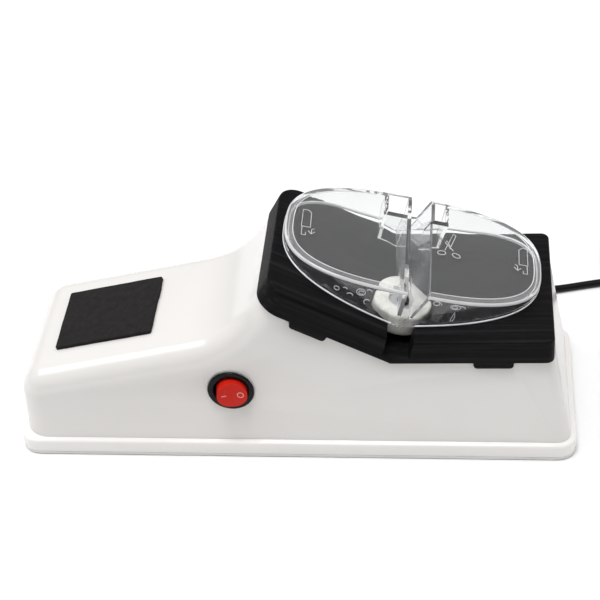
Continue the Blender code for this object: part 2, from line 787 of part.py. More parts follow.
def make_motor(head):
    mid = add_empty("motor_axis", (SPINDLE_X, SPINDLE_Y, 0), parent=head)
    can = turned(
        [(3.6, MOTOR_FRONT), (3.6, MOTOR_FRONT - 1.2), (16.3, MOTOR_FRONT - 1.2), (16.3, MOTOR_REAR)]
        + [(MOTOR_R, MOTOR_REAR), (MOTOR_R, MOTOR_FRONT - 1.0), (MOTOR_R - 1.0, MOTOR_FRONT)],
        40, True
    )
    can = add_object("motor_can", can, paint("zinc_plate", (0.55, 0.56, 0.58), 0.35, 1.0), mid)
    smooth(can)
    low = MOTOR_REAR - GAP
    cap = turned(
        [(3.4, low - 3.6), (5.2, low - 3.6), (5.6, low - 2.2), (MOTOR_R - 0.6, low - 2.2)]
        + [(MOTOR_R, low - 1.6), (MOTOR_R, low), (3.4, low)], 40, True
    )
    smooth(add_object("motor_end_cap", cap, black_abs(), mid))
    for name, z0, z1, outer in (
        ("front_bush", MOTOR_FRONT - 5.0, MOTOR_FRONT - 0.2, 3.3),
        ("rear_bush", low - 3.4, low + 1.6, 3.1),
    ):
        bronze = paint("bronze", (0.5, 0.33, 0.2), 0.4, 1.0)
        smooth(add_object(name, ring(1.7, outer, z0, z1, 24), bronze, mid))
    for k in range(2):
        outline = arc((0, 0), 16.0, -1.0, 1.0, 10) + arc((0, 0), 13.7, 1.0, -1.0, 10)
        magnet = prism(outline, -46.0, -23.0)
        name = f"motor_magnet_{k + 1}"
        ferrite = paint("ferrite", (0.07, 0.07, 0.075), 0.6)
        add_object(name, magnet, ferrite, mid, turn=(0, 0, k * math.pi))
        brush = box((4.6, -1.6, -51.0), (9.5, 1.6, -48.0))
        name = f"carbon_brush_{k + 1}"
        turn = (0, 0, math.pi / 2 + k * math.pi)
        add_object(name, brush, paint("carbon", (0.03, 0.03, 0.03), 0.5), mid, turn=turn)
    plate = add_object(
        "motor_bracket",
        prism(rounded_rectangle(30.0, 15.0, 4.0, 4), -16.6, -15.0),
        paint("bracket_steel", (0.5, 0.5, 0.52), 0.4, 1.0),
        mid,
    )
    holes = [(0.0, 5.0), (-25.0, 1.5), (25.0, 1.5)]
    holes += [(x, 1.5) for x in (-10.0, 10.0)]
    for k, (x, radius) in enumerate(holes):
        hole = prism(circle(radius, 21, (x, 0), 0.07), -22, -10)
        boolean(plate, add_object(f"guide_plate_{k}", hole, None, mid))
    for k, x in enumerate((-10.0, 10.0)):
        hole = prism(circle(1.4, 15, (x, 0), 0.1), -20, -16)
        boolean(can, add_object(f"guide_can_{k}", hole, None, mid))
        screw = turned(
            [(0, -19.6), (1.1, -19.6), (1.1, -14.7), (2.2, -14.7), (2.2, -13.6), (0, -13.6)], 16
        )
        smooth(add_object(f"motor_screw_{k + 1}", screw, steel(), mid, (x, 0, 0)))
    for k, x in enumerate((-25.0, 25.0)):
        screw = turned(
            [(0, -18.6), (2.5, -18.6), (2.5, -16.9), (0.6, -16.9), (0.6, -7.5), (0, -7.0)], 16
        )
        smooth(add_object(f"bracket_screw_{k + 1}", screw, steel(), mid, (x, 0, 0)))
    block = prism(rounded_rectangle(7.0, 3.2, 0.8, 2, (0, 11.6)), -63.5, -57.2)
    add_object("rectifier_block", block, paint("epoxy", (0.03, 0.03, 0.035), 0.3), mid)


# ---------------------------------------------------------------- leads

def make_inner_leads():
    red = paint("lead_red", (0.5, 0.03, 0.02), 0.5)
    black = paint("lead_black", (0.02, 0.02, 0.02), 0.5)
    routes = {
        "lead_live_in": [
            (106, 33, 14), (96, 30, 10), (60, 29, 8), (20, 27, 8),
            (-12, 20, 9), (-22, 5, 17), (-24.6, -8, 30), (-24.8, -14.4, 40),
        ],
        "lead_switched": [
            (-32.4, -14.4, 40), (-33, -11, 31), (-29, -14, 15), (-12, -17, 8),
            (8, -12, 6.5), (24, -5, 7), (30.5, -3, 11),
        ],
        "lead_neutral_in": [
            (106, 29, 17), (94, 24, 13), (76, 16, 9), (60, 9, 7.5), (47.5, 2.5, 9.5),
        ],
    }
    for (name, route), material in zip(routes.items(), (red, red, black)):
        tube(name, route, 0.9, 5.0, material, 0)


def make_cord_exit():
    wall = wall_half_depth(EXIT_Z)
    inner = wall - WALL - 0.6
    outer = wall + 0.5
    relief = turned(
        [(0, inner - 2.0), (5.0, inner - 2.0), (5.0, inner), (3.9, inner), (3.9, outer)]
        + [(5.0, outer), (5.0, outer + 1.6), (4.4, outer + 2.4), (4.0, outer + 8)]
        + [(2.9, RELIEF_END_Y), (0, RELIEF_END_Y)], 24
    )
    smooth(add_object("strain_relief", relief, black_rubber(), None, (EXIT_X, 0, EXIT_Z),
                      (-math.pi / 2, 0, 0)), 50)
    clamp = add_object(
        "cord_clamp",
        box((96.0, 27.0, 21.0), (112.0, 35.0, 23.6)),
        paint("clamp_nylon", (0.7, 0.7, 0.68), 0.5),
    )
    for k, x in enumerate((98.5, 109.5)):
        hole = prism(circle(1.5, 15, (x, 31.0), 0.1), 18, 27)
        boolean(clamp, add_object(f"guide_clamp_{k}", hole, None))
        screw = turned(
            [(0, 20.0), (1.0, 20.0), (1.0, 23.9), (2.1, 23.9), (2.1, 25.2), (0, 25.2)], 14
        )
        smooth(add_object(f"clamp_screw_{k + 1}", screw, steel(), place=(x, 31.0, 0)))


def make_cord():
    black = paint("cord_pvc", (0.012, 0.012, 0.013), 0.4)
    tube("power_cord", FREE_ROUTE, CORD_R, 5.0, black)
    tube("cord_tail", TAIL_ROUTE, CORD_R, 5.0, black)
    inner = COIL_MEAN_R - COIL_WIDTH / 2
    outer = COIL_MEAN_R + COIL_WIDTH / 2
    coil = turned(
        [(inner, 1.2), (inner + 1.2, 0), (outer - 1.2, 0), (outer, 1.2), (outer, COIL_HEIGHT - 1.2)]
        + [(outer - 1.2, COIL_HEIGHT), (inner + 1.2, COIL_HEIGHT), (inner, COIL_HEIGHT - 1.2)],
        40, True
    )
    place = (*COIL_MID, 0)
    coil = add_object("cord_coil", coil, black, place=place)
    groove = box((inner - 3, -2.6, -2), (outer + 3, 2.6, 1.0))
    boolean(coil, add_object("guide_tie_groove", groove, None, place=place))
    smooth(coil)
    wrap = [(inner - GAP - 0.7, 0.1), (outer + GAP + 0.7, 0.1)]
    top = COIL_HEIGHT + GAP + 0.7
    outline = wrap + [(wrap[1][0], top), (wrap[0][0], top)]
    tie = add_object("cord_tie", prism(outline, -2.0, 2.0, "Y"), black_abs(), place=place)
    hole = [(inner - GAP, 0.7), (outer + GAP, 0.7), (outer + GAP, top - 0.7), (inner - GAP, top - 0.7)]
    boolean(tie, add_object("guide_tie_hole", prism(hole, -9, 9, "Y"), None, place=place))


def make_plug():
    """A flat two-pin plug lying on the ground, its pins towards -Y."""
    black = paint("plug_pvc", (0.015, 0.015, 0.016), 0.35)
    right = [(3.6, 0), (4.4, -9), (9.0, -14), (13.0, -20), (13.0, -34), (10.6, -37)]
    outline = right + [(-x, y) for x, y in reversed(right)]
    body = prism(outline, -6.8, 6.8)
    edges = [e for e in body.edges if abs(e.verts[0].co.z - e.verts[1].co.z) < 1e-4]
    bevel(body, edges, 1.6, 2)
    place = (PLUG_X, PLUG_BACK_Y, PLUG_Z)
    smooth(add_object("plug_body", body, black, place=place))
    for k, x in enumerate((-9.3, 9.3)):
        pin = turned([(0, 0), (2.0, 0), (2.0, 17.4), (1.0, 18.7), (0, 18.7)], 20)
        spot = (PLUG_X + x, PLUG_BACK_Y - 37.0 - GAP, PLUG_Z)
        smooth(add_object(f"plug_pin_{k + 1}", pin, brass(), place=spot, turn=(math.pi / 2, 0, 0)))


def main():
    clear_scene()
    head = add_empty("head_frame", VALLEY, (0, HEAD_TILT, 0))
    make_base()
    make_housing()
    make_hand_pad()
    make_switch()
    make_head(head)
    make_guard(head)
    make_spindle(head)
    make_motor(head)
    make_inner_leads()
    make_cord_exit()
    make_cord()
    make_plug()


main()
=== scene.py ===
"""Looks for the electric knife and scissors sharpener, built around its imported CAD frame."""

import random
from math import atan, copysign, cos, dist, hypot, pi, radians, sin, tan, tau

import bmesh
import bpy
from mathutils import Matrix, Vector, noise


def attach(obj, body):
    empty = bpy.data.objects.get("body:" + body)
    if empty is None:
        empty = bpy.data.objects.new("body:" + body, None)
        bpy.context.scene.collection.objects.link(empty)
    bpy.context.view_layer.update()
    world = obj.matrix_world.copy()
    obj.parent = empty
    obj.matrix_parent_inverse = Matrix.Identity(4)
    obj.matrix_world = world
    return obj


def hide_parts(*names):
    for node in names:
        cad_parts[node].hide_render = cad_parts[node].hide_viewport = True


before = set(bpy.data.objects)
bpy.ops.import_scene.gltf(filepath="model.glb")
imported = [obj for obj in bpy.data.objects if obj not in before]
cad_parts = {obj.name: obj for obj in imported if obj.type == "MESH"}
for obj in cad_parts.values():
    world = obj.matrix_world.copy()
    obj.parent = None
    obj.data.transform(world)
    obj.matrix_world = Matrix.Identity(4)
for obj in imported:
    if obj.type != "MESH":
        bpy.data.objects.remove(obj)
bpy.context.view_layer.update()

MM = 0.001

# Driving dimensions in millimetres, the same as the CAD's
LENGTH, DEPTH = 280.0, 90.0
RIM_LOW, RIM_TOP, RIM_LEDGE, RIM_CORNER = 2.3, 9.6, 2.9, 9.6
WALL = 2.5
WALL_DRAFT, RIGHT_LEAN, LEFT_LEAN = radians(2.2), radians(10.1), radians(2.0)
EDGE_ROUND, RIGHT_ROUND = 12.0, 7.0
HANDLE_SLOPE, HANDLE_X, HANDLE_Z = radians(13.0), -110.0, 51.3
NECK_START_X, NECK_RADIUS, NECK_TURN = -50.0, 54.6, radians(65.0)
SHELL_TOP = 112.0
VALLEY = (53.1, 0.0, 74.2)
HEAD_TILT, WING_ANGLE = radians(14.2), radians(15.0)
HEAD_HALF_DEPTH, HEAD_THICK = 41.5, 13.5
LEFT_WING, RIGHT_WING, LEFT_CORNER, RIGHT_CORNER = 67.9, 73.6, 12.0, 4.0
HEAD_SKIN, HEAD_SKIRT, TAB_CORNER = 2.5, 4.0, 1.9
LATCH_MIDS, LATCH_HALF = ((-1, -39.7), (1, 45.1)), 9.4
SPINDLE_X, SPINDLE_Y = 1.3, -14.3
BRACKET_SCREWS = (SPINDLE_X - 25.0, SPINDLE_X + 25.0)
WHEEL_R, WHEEL_LOW, WHEEL_TOP = 14.0, -7.0, 5.0
WELL_R, WELL_FLOOR, CHANNEL_HALF, CHANNEL_FLOOR = 15.6, -11.5, 6.4, -9.5
GUARD_TOP, GUARD_MID, GUARD_HALF, GUARD_POWER = 22.0, (2.0, 7.2), (63.5, 37.8), 2.8
GUARD_WALL, GUARD_PLATE, NOTCH_TOP_WIDTH, NOTCH_LOW_WIDTH = 1.8, 2.0, 10.0, 1.2
NOTCH_BACK_FLOOR, WHEEL_CLEAR = 9.5, 6.4
SLOT_Y, SLOT_LEFT_X, SLOT_RIGHT_X = 27.0, -13.6, 19.2
SWITCH_X, SWITCH_Z, BEZEL_R, BARREL_R, ROCKER_R = -28.6, 42.3, 11.5, 9.9, 7.5
ROCKER_TILT, ROCKER_REACH = radians(8.0), 7.8
PAD_MID_X, PAD_MID_Y, PAD_LENGTH, PAD_WIDTH, PAD_THICK = -93.9, 0.5, 51.5, 42.9, 1.7
CORD_R, EXIT_X, EXIT_Z, EXIT_HOLE_R, RELIEF_END_Y = 2.0, 112.0, 15.0, 4.3, 64.0
COIL_MID, COIL_MEAN_R, COIL_SIZE, STRAND = (192.5, 118.2), 22.0, 12.4, 4.2
PLUG_X, PLUG_Z, PLUG_BACK_Y, PLUG_LENGTH = 192.4, 6.9, 60.0, 37.0
GAP = 0.3

# The guard's top edge, square in the CAD, is rounded here, with a flat ring inside the rounding
GUARD_ROUND, GUARD_RING = 1.3, 2.6
GUARD_INNER = GUARD_ROUND + GUARD_RING
# The lead: straight out of the relief, down to the ground, then under the view's right edge
FREE_ROUTE = [
    (112.0, 62.5, 15.0), (112.0, 64.3, 15.0), (112.2, 67.6, 14.8), (113.0, 71.0, 14.1),
    (114.8, 74.5, 12.7), (117.5, 77.6, 10.6), (121.0, 80.1, 8.1), (125.2, 81.9, 5.6),
    (129.7, 83.0, 3.5), (134.5, 84.0, 2.3), (140.5, 85.4, 2.0), (147.0, 87.0, 2.0),
    (154.0, 88.7, 2.0), (161.0, 90.2, 2.0), (168.0, 91.2, 2.0), (175.5, 91.8, 2.0),
]
TAIL_ROUTE = [
    (184.3, 88.3, 7.2), (187.4, 83.6, 5.4), (189.9, 78.4, 4.4), (191.6, 72.6, 4.6),
    (192.3, 66.4, 5.8), (192.4, 60.3, 6.9),
]
# Turns of the coil: (turns from the start, strand column, strand layer)
COIL_STEPS = [
    (0.0, 1, 0), (0.75, 1, 0), (1.0, 0, 0), (1.75, 0, 0), (2.0, -1, 0), (2.5, -1, 0),
    (2.75, -1, 1), (3.25, -1, 1), (3.5, 0, 1), (4.25, 0, 1), (4.5, 1, 1), (5.0, 1, 1),
    (5.25, 1, 2), (5.5, 0, 2), (5.62, 0, 2), (5.875, 1, 2),
]


# ---- mesh helpers

def at(spot, angle=0.0, axis="X"):
    """The matrix that turns by an angle about an axis, then moves to a spot in millimetres."""
    return Matrix.Translation(Vector(spot) * MM) @ Matrix.Rotation(angle, 4, axis)


HEAD_MATRIX = at(VALLEY, HEAD_TILT, "Y")
SPINDLE_MATRIX = HEAD_MATRIX @ at((SPINDLE_X, SPINDLE_Y, 0))


def finish_mesh(name, bm, matrix=None, sharp=35.0):
    """Turn a millimetre bmesh into an object in world metres, smooth but for sharp edges."""
    bmesh.ops.recalc_face_normals(bm, faces=bm.faces)
    bmesh.ops.scale(bm, vec=(MM, MM, MM), verts=bm.verts)
    if matrix is not None:
        bm.transform(matrix)
    mesh = bpy.data.meshes.new(name)
    bm.to_mesh(mesh)
    bm.free()
    made = bpy.data.objects.new(name, mesh)
    bpy.context.collection.objects.link(made)
    shade(made, sharp)
    return made


def shade(thing, sharp=35.0):
    thing.data.shade_smooth()
    thing.data.set_sharp_from_angle(angle=radians(sharp))


def bake(thing):
    """Apply the modifiers and keep the result as the object's own mesh."""
    graph = bpy.context.evaluated_depsgraph_get()
    mesh = bpy.data.meshes.new_from_object(thing.evaluated_get(graph))
    thing.modifiers.clear()
    thing.data = mesh


def carve(thing, shapes, place=None, operation="DIFFERENCE"):
    """Cut or join objects or millimetre bmeshes with exact Booleans, then drop them.

    Shapes that meet end at different heights, so that no two ends share a plane.
    """
    for shape in shapes:
        tool = shape if isinstance(shape, bpy.types.Object) else finish_mesh("tool", shape, place)
        step = thing.modifiers.new("cut", "BOOLEAN")
        step.operation = operation
        step.solver = "EXACT"
        step.object = tool
        bake(thing)
        bpy.data.objects.remove(tool, do_unlink=True)


def soften(thing, width, segments=2, angle=40.0, material=-1):
    """Round every sharp edge a little, as a moulding has it."""
    step = thing.modifiers.new("soft edges", "BEVEL")
    step.width = width * MM
    step.segments = segments
    step.limit_method = "ANGLE"
    step.angle_limit = radians(angle)
    step.material = material
    bake(thing)
    shade(thing)


def bridge(bm, first, second):
    """Join two closed rings of vertices with a band of faces."""
    for i in range(len(first)):
        j = (i + 1) % len(first)
        bm.faces.new((first[i], first[j], second[j], second[i]))


def prism(outline, low, high, axis="Z"):
    """A prism along Z, or along Y from an outline of (x, z)."""
    bm = bmesh.new()
    rings = []
    for t in (low, high):
        spots = [(a, b, t) if axis == "Z" else (a, t, b) for a, b in outline]
        rings.append([bm.verts.new(spot) for spot in spots])
    bm.faces.new(rings[0])
    bm.faces.new(rings[1])
    bridge(bm, *rings)
    bmesh.ops.recalc_face_normals(bm, faces=bm.faces)
    return bm


def both_sides(outline, near, far):
    """The same prism at the front and at the back of the body."""
    return [prism(outline, -far, -near, "Y"), prism(outline, near, far, "Y")]


def box(low, high):
    outline = [(low[0], low[1]), (high[0], low[1]), (high[0], high[1]), (low[0], high[1])]
    return prism(outline, low[2], high[2])


def ellipse(middle, radii, begin=0.0, end=tau, count=16):
    """Points along an ellipse, with both ends."""
    angles = [begin + (end - begin) * i / count for i in range(count + 1)]
    return [(middle[0] + radii[0] * cos(a), middle[1] + radii[1] * sin(a)) for a in angles]


def arc(middle, radius, begin, end, count):
    return ellipse(middle, (radius, radius), begin, end, count)


def quarter_round(radius, steps):
    """How far in and how far down the points of a rounded edge lie, from (0, radius) to (radius, 0)."""
    angles = [pi / 2 * k / steps for k in range(steps + 1)]
    return [(radius * (1 - cos(a)), radius * (1 - sin(a))) for a in angles]


def circle(radius, count, middle=(0.0, 0.0)):
    return arc(middle, radius, 0.0, tau, count)[:-1]


def rounded_rectangle(half_x, half_y, radius, steps=12, middle=(0.0, 0.0)):
    outline = []
    for k, (sx, sy) in enumerate([(1, 1), (-1, 1), (-1, -1), (1, -1)]):
        centre = (middle[0] + sx * (half_x - radius), middle[1] + sy * (half_y - radius))
        outline += arc(centre, radius, k * pi / 2, (k + 1) * pi / 2, steps)
    return outline


def turned(profile, count=96, closed=False):
    """Revolve (radius, height) points about Z; open profiles start and end on the axis."""
    bm = bmesh.new()
    rings = []
    for radius, height in profile:
        if radius == 0:
            rings.append([bm.verts.new((0, 0, height))])
        else:
            rings.append([bm.verts.new((x, y, height)) for x, y in circle(radius, count)])
    pairs = list(zip(rings, rings[1:]))
    if closed:
        pairs.append((rings[-1], rings[0]))
    for low, high in pairs:
        for i in range(count):
            j = (i + 1) % count
            ends = [low[i % len(low)], low[j % len(low)], high[j % len(high)], high[i % len(high)]]
            face = list(dict.fromkeys(ends))
            if len(face) > 2:
                bm.faces.new(face)
    return bm


def bevel(bm, edges, offset, steps):
    bmesh.ops.bevel(
        bm,
        geom=edges,
        offset=offset,
        offset_type="OFFSET",
        segments=steps,
        profile=0.5,
        affect="EDGES",
        clamp_overlap=False,
    )


def level_edges(bm, z):
    """The edges that lie at one height."""
    return [e for e in bm.edges if all(abs(v.co.z - z) < 1e-4 for v in e.verts)]


def coat(piece, *looks):
    piece.data.materials.clear()
    for look in looks:
        piece.data.materials.append(MATS[look])


def ride(piece, body, slot, *nodes):
    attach(piece, body)
    if nodes:
        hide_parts(*nodes)
    return piece


def dress(piece, look, body, slot, *nodes):
    """Give a piece of one material its look, its body and the CAD nodes that it stands for."""
    coat(piece, look)
    return ride(piece, body, slot, *nodes)


def tube(name, strokes, radius, resolution, place):
    """Round lines through millimetre points as one curve; a stroke is (points, closed)."""
    curve = bpy.data.curves.new(name, "CURVE")
    curve.dimensions = "3D"
    curve.bevel_depth = radius * MM
    curve.bevel_resolution = resolution
    curve.use_fill_caps = True
    for points, closed in strokes:
        line = curve.splines.new("POLY")
        line.points.add(len(points) - 1)
        line.use_cyclic_u = closed
        for point, spot in zip(line.points, points):
            point.co = (*(place @ (Vector(spot) * MM)), 1.0)
    made = bpy.data.objects.new(name, curve)
    bpy.context.collection.objects.link(made)
    return made


# ---- materials

class Graph:
    """A short way to add nodes to a tree and wire them."""

    def __init__(self, tree):
        self.tree = tree

    def feed(self, socket, value):
        """A value is a number, a colour or another node's output."""
        if hasattr(value, "is_output"):
            self.tree.links.new(value, socket)
        else:
            socket.default_value = value

    def node(self, kind, **values):
        made = self.tree.nodes.new(kind)
        for key, value in values.items():
            if hasattr(made, key):
                setattr(made, key, value)
            else:
                self.feed(made.inputs[key.replace("_", " ")], value)
        return made

    def spread(self, factor, low, high, start=0.0, end=1.0):
        """Maps the stretch from start to end onto the one from low to high."""
        made = self.node("ShaderNodeMapRange", Value=factor, From_Min=start, From_Max=end,
                         To_Min=low, To_Max=high)
        return made.outputs["Result"]

    def math(self, operation, *terms):
        made = self.node("ShaderNodeMath", operation=operation)
        for socket, term in zip(made.inputs, terms):
            self.feed(socket, term)
        return made.outputs["Value"]


class Surface(Graph):
    """A Principled material; textures follow the object's own coordinates."""

    def __init__(self, name):
        self.material = bpy.data.materials.new(name)
        self.material.use_nodes = True
        super().__init__(self.material.node_tree)
        self.shader = self.tree.nodes["Principled BSDF"]
        self.place = self.node("ShaderNodeTexCoord").outputs["Object"]

    def mapped(self, scale=(1, 1, 1), turn=(0, 0, 0), vector=None):
        made = self.node("ShaderNodeMapping", Vector=vector or self.place, Scale=scale, Rotation=turn)
        return made.outputs["Vector"]

    def noise(self, scale, detail=3.0, rough=0.55, vector=None):
        made = self.node("ShaderNodeTexNoise", Vector=vector or self.place, Scale=scale, Detail=detail,
                         Roughness=rough)
        return made.outputs["Fac"]

    def cells(self, scale):
        made = self.node("ShaderNodeTexVoronoi", Vector=self.place, Scale=scale)
        return made.outputs["Distance"]

    def ramp(self, factor, stops):
        made = self.node("ShaderNodeValToRGB", Fac=factor)
        line = made.color_ramp
        while len(line.elements) < len(stops):
            line.elements.new(0.5)
        for element, (place, colour) in zip(line.elements, stops):
            element.position = place
            element.color = (*colour, 1.0)
        return made.outputs["Color"]

    def bump(self, height, strength, distance, **under):
        """A bump; Normal= lays it over another one."""
        made = self.node("ShaderNodeBump", Height=height, Strength=strength, Distance=distance, **under)
        return made.outputs["Normal"]

    def set(self, **values):
        for key, value in values.items():
            self.feed(self.shader.inputs[key.replace("_", " ")], value)
        return self.material

    def lit_through(self):
        """Lets lamp light fall through the clear material onto what lies behind it."""
        lamp = self.node("ShaderNodeLightPath").outputs["Is Shadow Ray"]
        opened = self.node("ShaderNodeBsdfTransparent", Color=(0.88, 0.89, 0.89, 1.0))
        mix = self.node("ShaderNodeMixShader")
        shaders = (self.shader.outputs["BSDF"], opened.outputs["BSDF"])
        for socket, value in zip(mix.inputs, (lamp, *shaders)):
            self.feed(socket, value)
        self.feed(self.tree.nodes["Material Output"].inputs["Surface"], mix.outputs["Shader"])
        return self.material


def plastic(name, dark, light, low_rough, high_rough, grain=900.0, bump=0.05, coated=0.0, shine=0.5):
    """Moulded plastic: a slow drift in tone and roughness, and a fine surface ripple."""
    skin = Surface(name)
    tone = skin.ramp(skin.noise(14.0, 4.0), [(0.3, dark), (0.7, light)])
    gloss = skin.spread(skin.noise(45.0, 5.0), low_rough, high_rough)
    ripple = skin.bump(skin.noise(grain, 2.0), bump, 0.0002)
    return skin.set(Base_Color=tone, Roughness=gloss, Normal=ripple, Coat_Weight=coated,
                    Coat_Roughness=0.08, Specular_IOR_Level=shine)


def charred_grain(name, slope):
    """Black satin plastic with fine streaks that run along a wing."""
    skin = Surface(name)
    along = skin.mapped(turn=(0, -slope, 0))
    wide_streak = skin.noise(1.0, 4.0, 0.6, skin.mapped((9.0, 380.0, 380.0), vector=along))
    fine_streak = skin.noise(1.0, 3.0, 0.6, skin.mapped((30.0, 1300.0, 1300.0), vector=along))
    tone = skin.ramp(wide_streak, [(0.34, (0.0012, 0.0012, 0.0015)), (0.52, (0.004, 0.004, 0.0045)),
                                   (0.70, (0.013, 0.013, 0.014))])
    gloss = skin.spread(fine_streak, 0.40, 0.65)
    groove = skin.bump(wide_streak, 0.45, 0.0006)
    scratch = skin.bump(fine_streak, 0.25, 0.0003, Normal=groove)
    return skin.set(Base_Color=tone, Roughness=gloss, Normal=scratch, Specular_IOR_Level=0.08)


def clear_acrylic():
    """Clear moulded acrylic with faint flow marks."""
    skin = Surface("clear_acrylic")
    flow = skin.noise(30.0, 2.0)
    gloss = skin.spread(flow, 0.01, 0.05)
    wave = skin.bump(flow, 0.06, 0.0006)
    tint = skin.ramp(skin.noise(60.0), [(0.0, (0.955, 0.965, 0.965)), (1.0, (0.985, 0.99, 0.99))])
    skin.set(Base_Color=tint, Roughness=gloss, Normal=wave, Transmission_Weight=0.985, IOR=1.49)
    return skin.lit_through()


def painted_highlight_acrylic(name, clear_share, gloss):
    """The same acrylic painted milky white where light gathers on it: painted highlights on its edges,
    walls and beads.
    """
    skin = Surface(name)
    tint = skin.ramp(skin.noise(90.0, 4.0), [(0.2, (0.86, 0.87, 0.88)), (0.8, (0.97, 0.975, 0.98))])
    share = skin.spread(skin.noise(60.0, 3.0), clear_share - 0.08, clear_share + 0.08)
    skin.set(Base_Color=tint, Roughness=gloss, Transmission_Weight=share, IOR=1.49)
    return skin.lit_through()


def grinding_stone():
    """Cream vitrified grit: packed grains and dusty patches."""
    skin = Surface("grinding_stone")
    tone = skin.ramp(skin.noise(120.0, 6.0, 0.7), [(0.3, (0.38, 0.37, 0.34)), (0.5, (0.50, 0.49, 0.46)),
                                                   (0.7, (0.59, 0.58, 0.55))])
    rough = skin.bump(skin.cells(1700.0), 0.5, 0.0003)
    return skin.set(Base_Color=tone, Roughness=skin.spread(skin.noise(300.0), 0.75, 0.95), Normal=rough)


def rubber(name, dark, light, scale, strength):
    """Closed-cell rubber with small pits."""
    skin = Surface(name)
    tone = skin.ramp(skin.noise(260.0, 6.0, 0.7), [(0.25, dark), (0.8, light)])
    pits = skin.bump(skin.cells(scale), strength, 0.0003)
    broad = skin.bump(skin.noise(160.0, 4.0), 0.12, 0.0003, Normal=pits)
    return skin.set(Base_Color=tone, Roughness=skin.spread(skin.noise(400.0), 0.78, 0.95), Normal=broad,
                    Specular_IOR_Level=0.2)


def metal(name, dark, light, low_rough, high_rough):
    """Bare metal with fine turning or rolling lines and slight stain."""
    skin = Surface(name)
    lines = skin.noise(1.0, 3.0, 0.6, skin.mapped((60.0, 60.0, 2600.0)))
    tone = skin.ramp(skin.noise(70.0, 5.0), [(0.3, dark), (0.75, light)])
    return skin.set(Base_Color=tone, Metallic=1.0, Roughness=skin.spread(lines, low_rough, high_rough),
                    Normal=skin.bump(lines, 0.15, 0.0001))


def frosted_mark():
    """The pale, slightly raised line of a pictogram moulded on the guard."""
    skin = Surface("frosted_mark")
    tone = skin.ramp(skin.noise(500.0), [(0.3, (0.62, 0.63, 0.64)), (0.7, (0.78, 0.79, 0.80))])
    return skin.set(Base_Color=tone, Roughness=0.6, Alpha=0.75)


def pale_floor():
    skin = Surface("pale_floor")
    tone = skin.ramp(skin.noise(3.0), [(0.0, (0.93, 0.93, 0.93)), (1.0, (0.95, 0.95, 0.95))])
    return skin.set(Base_Color=tone, Roughness=0.9, Specular_IOR_Level=0.1)


GLOSSY = {"grain": 700.0, "bump": 0.04, "coated": 0.3}
MATS = {
    "white": plastic("white_abs", (0.76, 0.74, 0.72), (0.785, 0.765, 0.745), 0.13, 0.20, **GLOSSY),
    # The rim's copy of the white is lighter than the rest of the same moulding: painted light on the
    # rim's ledge and face
    "white_rim_painted_light": plastic("rim_abs_painted_light", (0.90, 0.88, 0.86), (0.92, 0.90, 0.88), 0.14, 0.24, **GLOSSY),
    "base": plastic("base_abs", (0.74, 0.73, 0.71), (0.79, 0.78, 0.76), 0.35, 0.5),
    "left_wing": charred_grain("charred_left", HEAD_TILT + WING_ANGLE),
    "right_wing": charred_grain("charred_right", HEAD_TILT - WING_ANGLE),
    "clear": clear_acrylic(),
    # Painted highlights: whitened acrylic for the guard's top edge, divider walls, top ring and beads,
    # where light gathers on them
    "edge_painted_highlight": painted_highlight_acrylic("edge_painted_highlight", 0.4, 0.15),
    "wall_painted_highlight": painted_highlight_acrylic("wall_painted_highlight", 0.92, 0.05),
    "rim_band_painted_highlight": painted_highlight_acrylic("rim_band_painted_highlight", 0.84, 0.06),
    "bead": painted_highlight_acrylic("bead", 0.1, 0.15),
    "stone": grinding_stone(),
    "pad": rubber("pad_foam", (0.010, 0.009, 0.009), (0.022, 0.020, 0.020), 2600.0, 0.4),
    "foot": rubber("foot_rubber", (0.015, 0.015, 0.015), (0.03, 0.03, 0.03), 1500.0, 0.2),
    "bezel": plastic("bezel_nylon", (0.004, 0.004, 0.005), (0.009, 0.009, 0.011), 0.1, 0.2, shine=0.14),
    "rocker": plastic("rocker_red", (0.56, 0.013, 0.005), (0.66, 0.020, 0.009), 0.2, 0.32, bump=0.06,
                      shine=0.14),
    "mark": plastic("pale_mark", (0.70, 0.28, 0.24), (0.78, 0.36, 0.32), 0.35, 0.5),
    "frost": frosted_mark(),
    "steel": metal("bright_steel", (0.42, 0.42, 0.44), (0.62, 0.62, 0.64), 0.25, 0.45),
    "zinc": metal("zinc_plate", (0.40, 0.41, 0.43), (0.56, 0.57, 0.58), 0.35, 0.55),
    "dark_steel": metal("blackened_steel", (0.03, 0.03, 0.03), (0.08, 0.08, 0.08), 0.35, 0.5),
    "brass": metal("brass", (0.55, 0.40, 0.17), (0.72, 0.56, 0.27), 0.22, 0.4),
    "bronze": metal("sintered_bronze", (0.33, 0.21, 0.12), (0.47, 0.32, 0.20), 0.4, 0.6),
    "nylon": plastic("natural_nylon", (0.55, 0.54, 0.50), (0.68, 0.67, 0.63), 0.4, 0.6),
    "black": plastic("black_nylon", (0.012, 0.012, 0.013), (0.024, 0.024, 0.026), 0.35, 0.55),
    "ferrite": rubber("ferrite", (0.02, 0.02, 0.022), (0.05, 0.05, 0.055), 900.0, 0.2),
    "cord": plastic("cord_pvc", (0.003, 0.003, 0.003), (0.007, 0.007, 0.008), 0.28, 0.42, 1400.0, 0.15,
                    shine=0.15),
    "lead_red": plastic("lead_red", (0.38, 0.02, 0.015), (0.5, 0.03, 0.02), 0.35, 0.5),
    "floor": pale_floor(),
}


# ---- stage and camera

def make_stage():
    bm = bmesh.new()
    bmesh.ops.create_grid(bm, x_segments=8, y_segments=8, size=6000.0)
    floor = finish_mesh("floor", bm)
    coat(floor, "floor")
    make_sky()
    add_light("key", (-100, -300, 2300), (0, -20, 40), 700, 22.0)
    add_light("left", (-1130, -60, 1650), (0, -20, 40), 900, 8.0)
    add_light("side", (1150, 60, 600), (60, 0, 40), 600, 0.7)
    bpy.context.scene.view_settings.view_transform = "Standard"


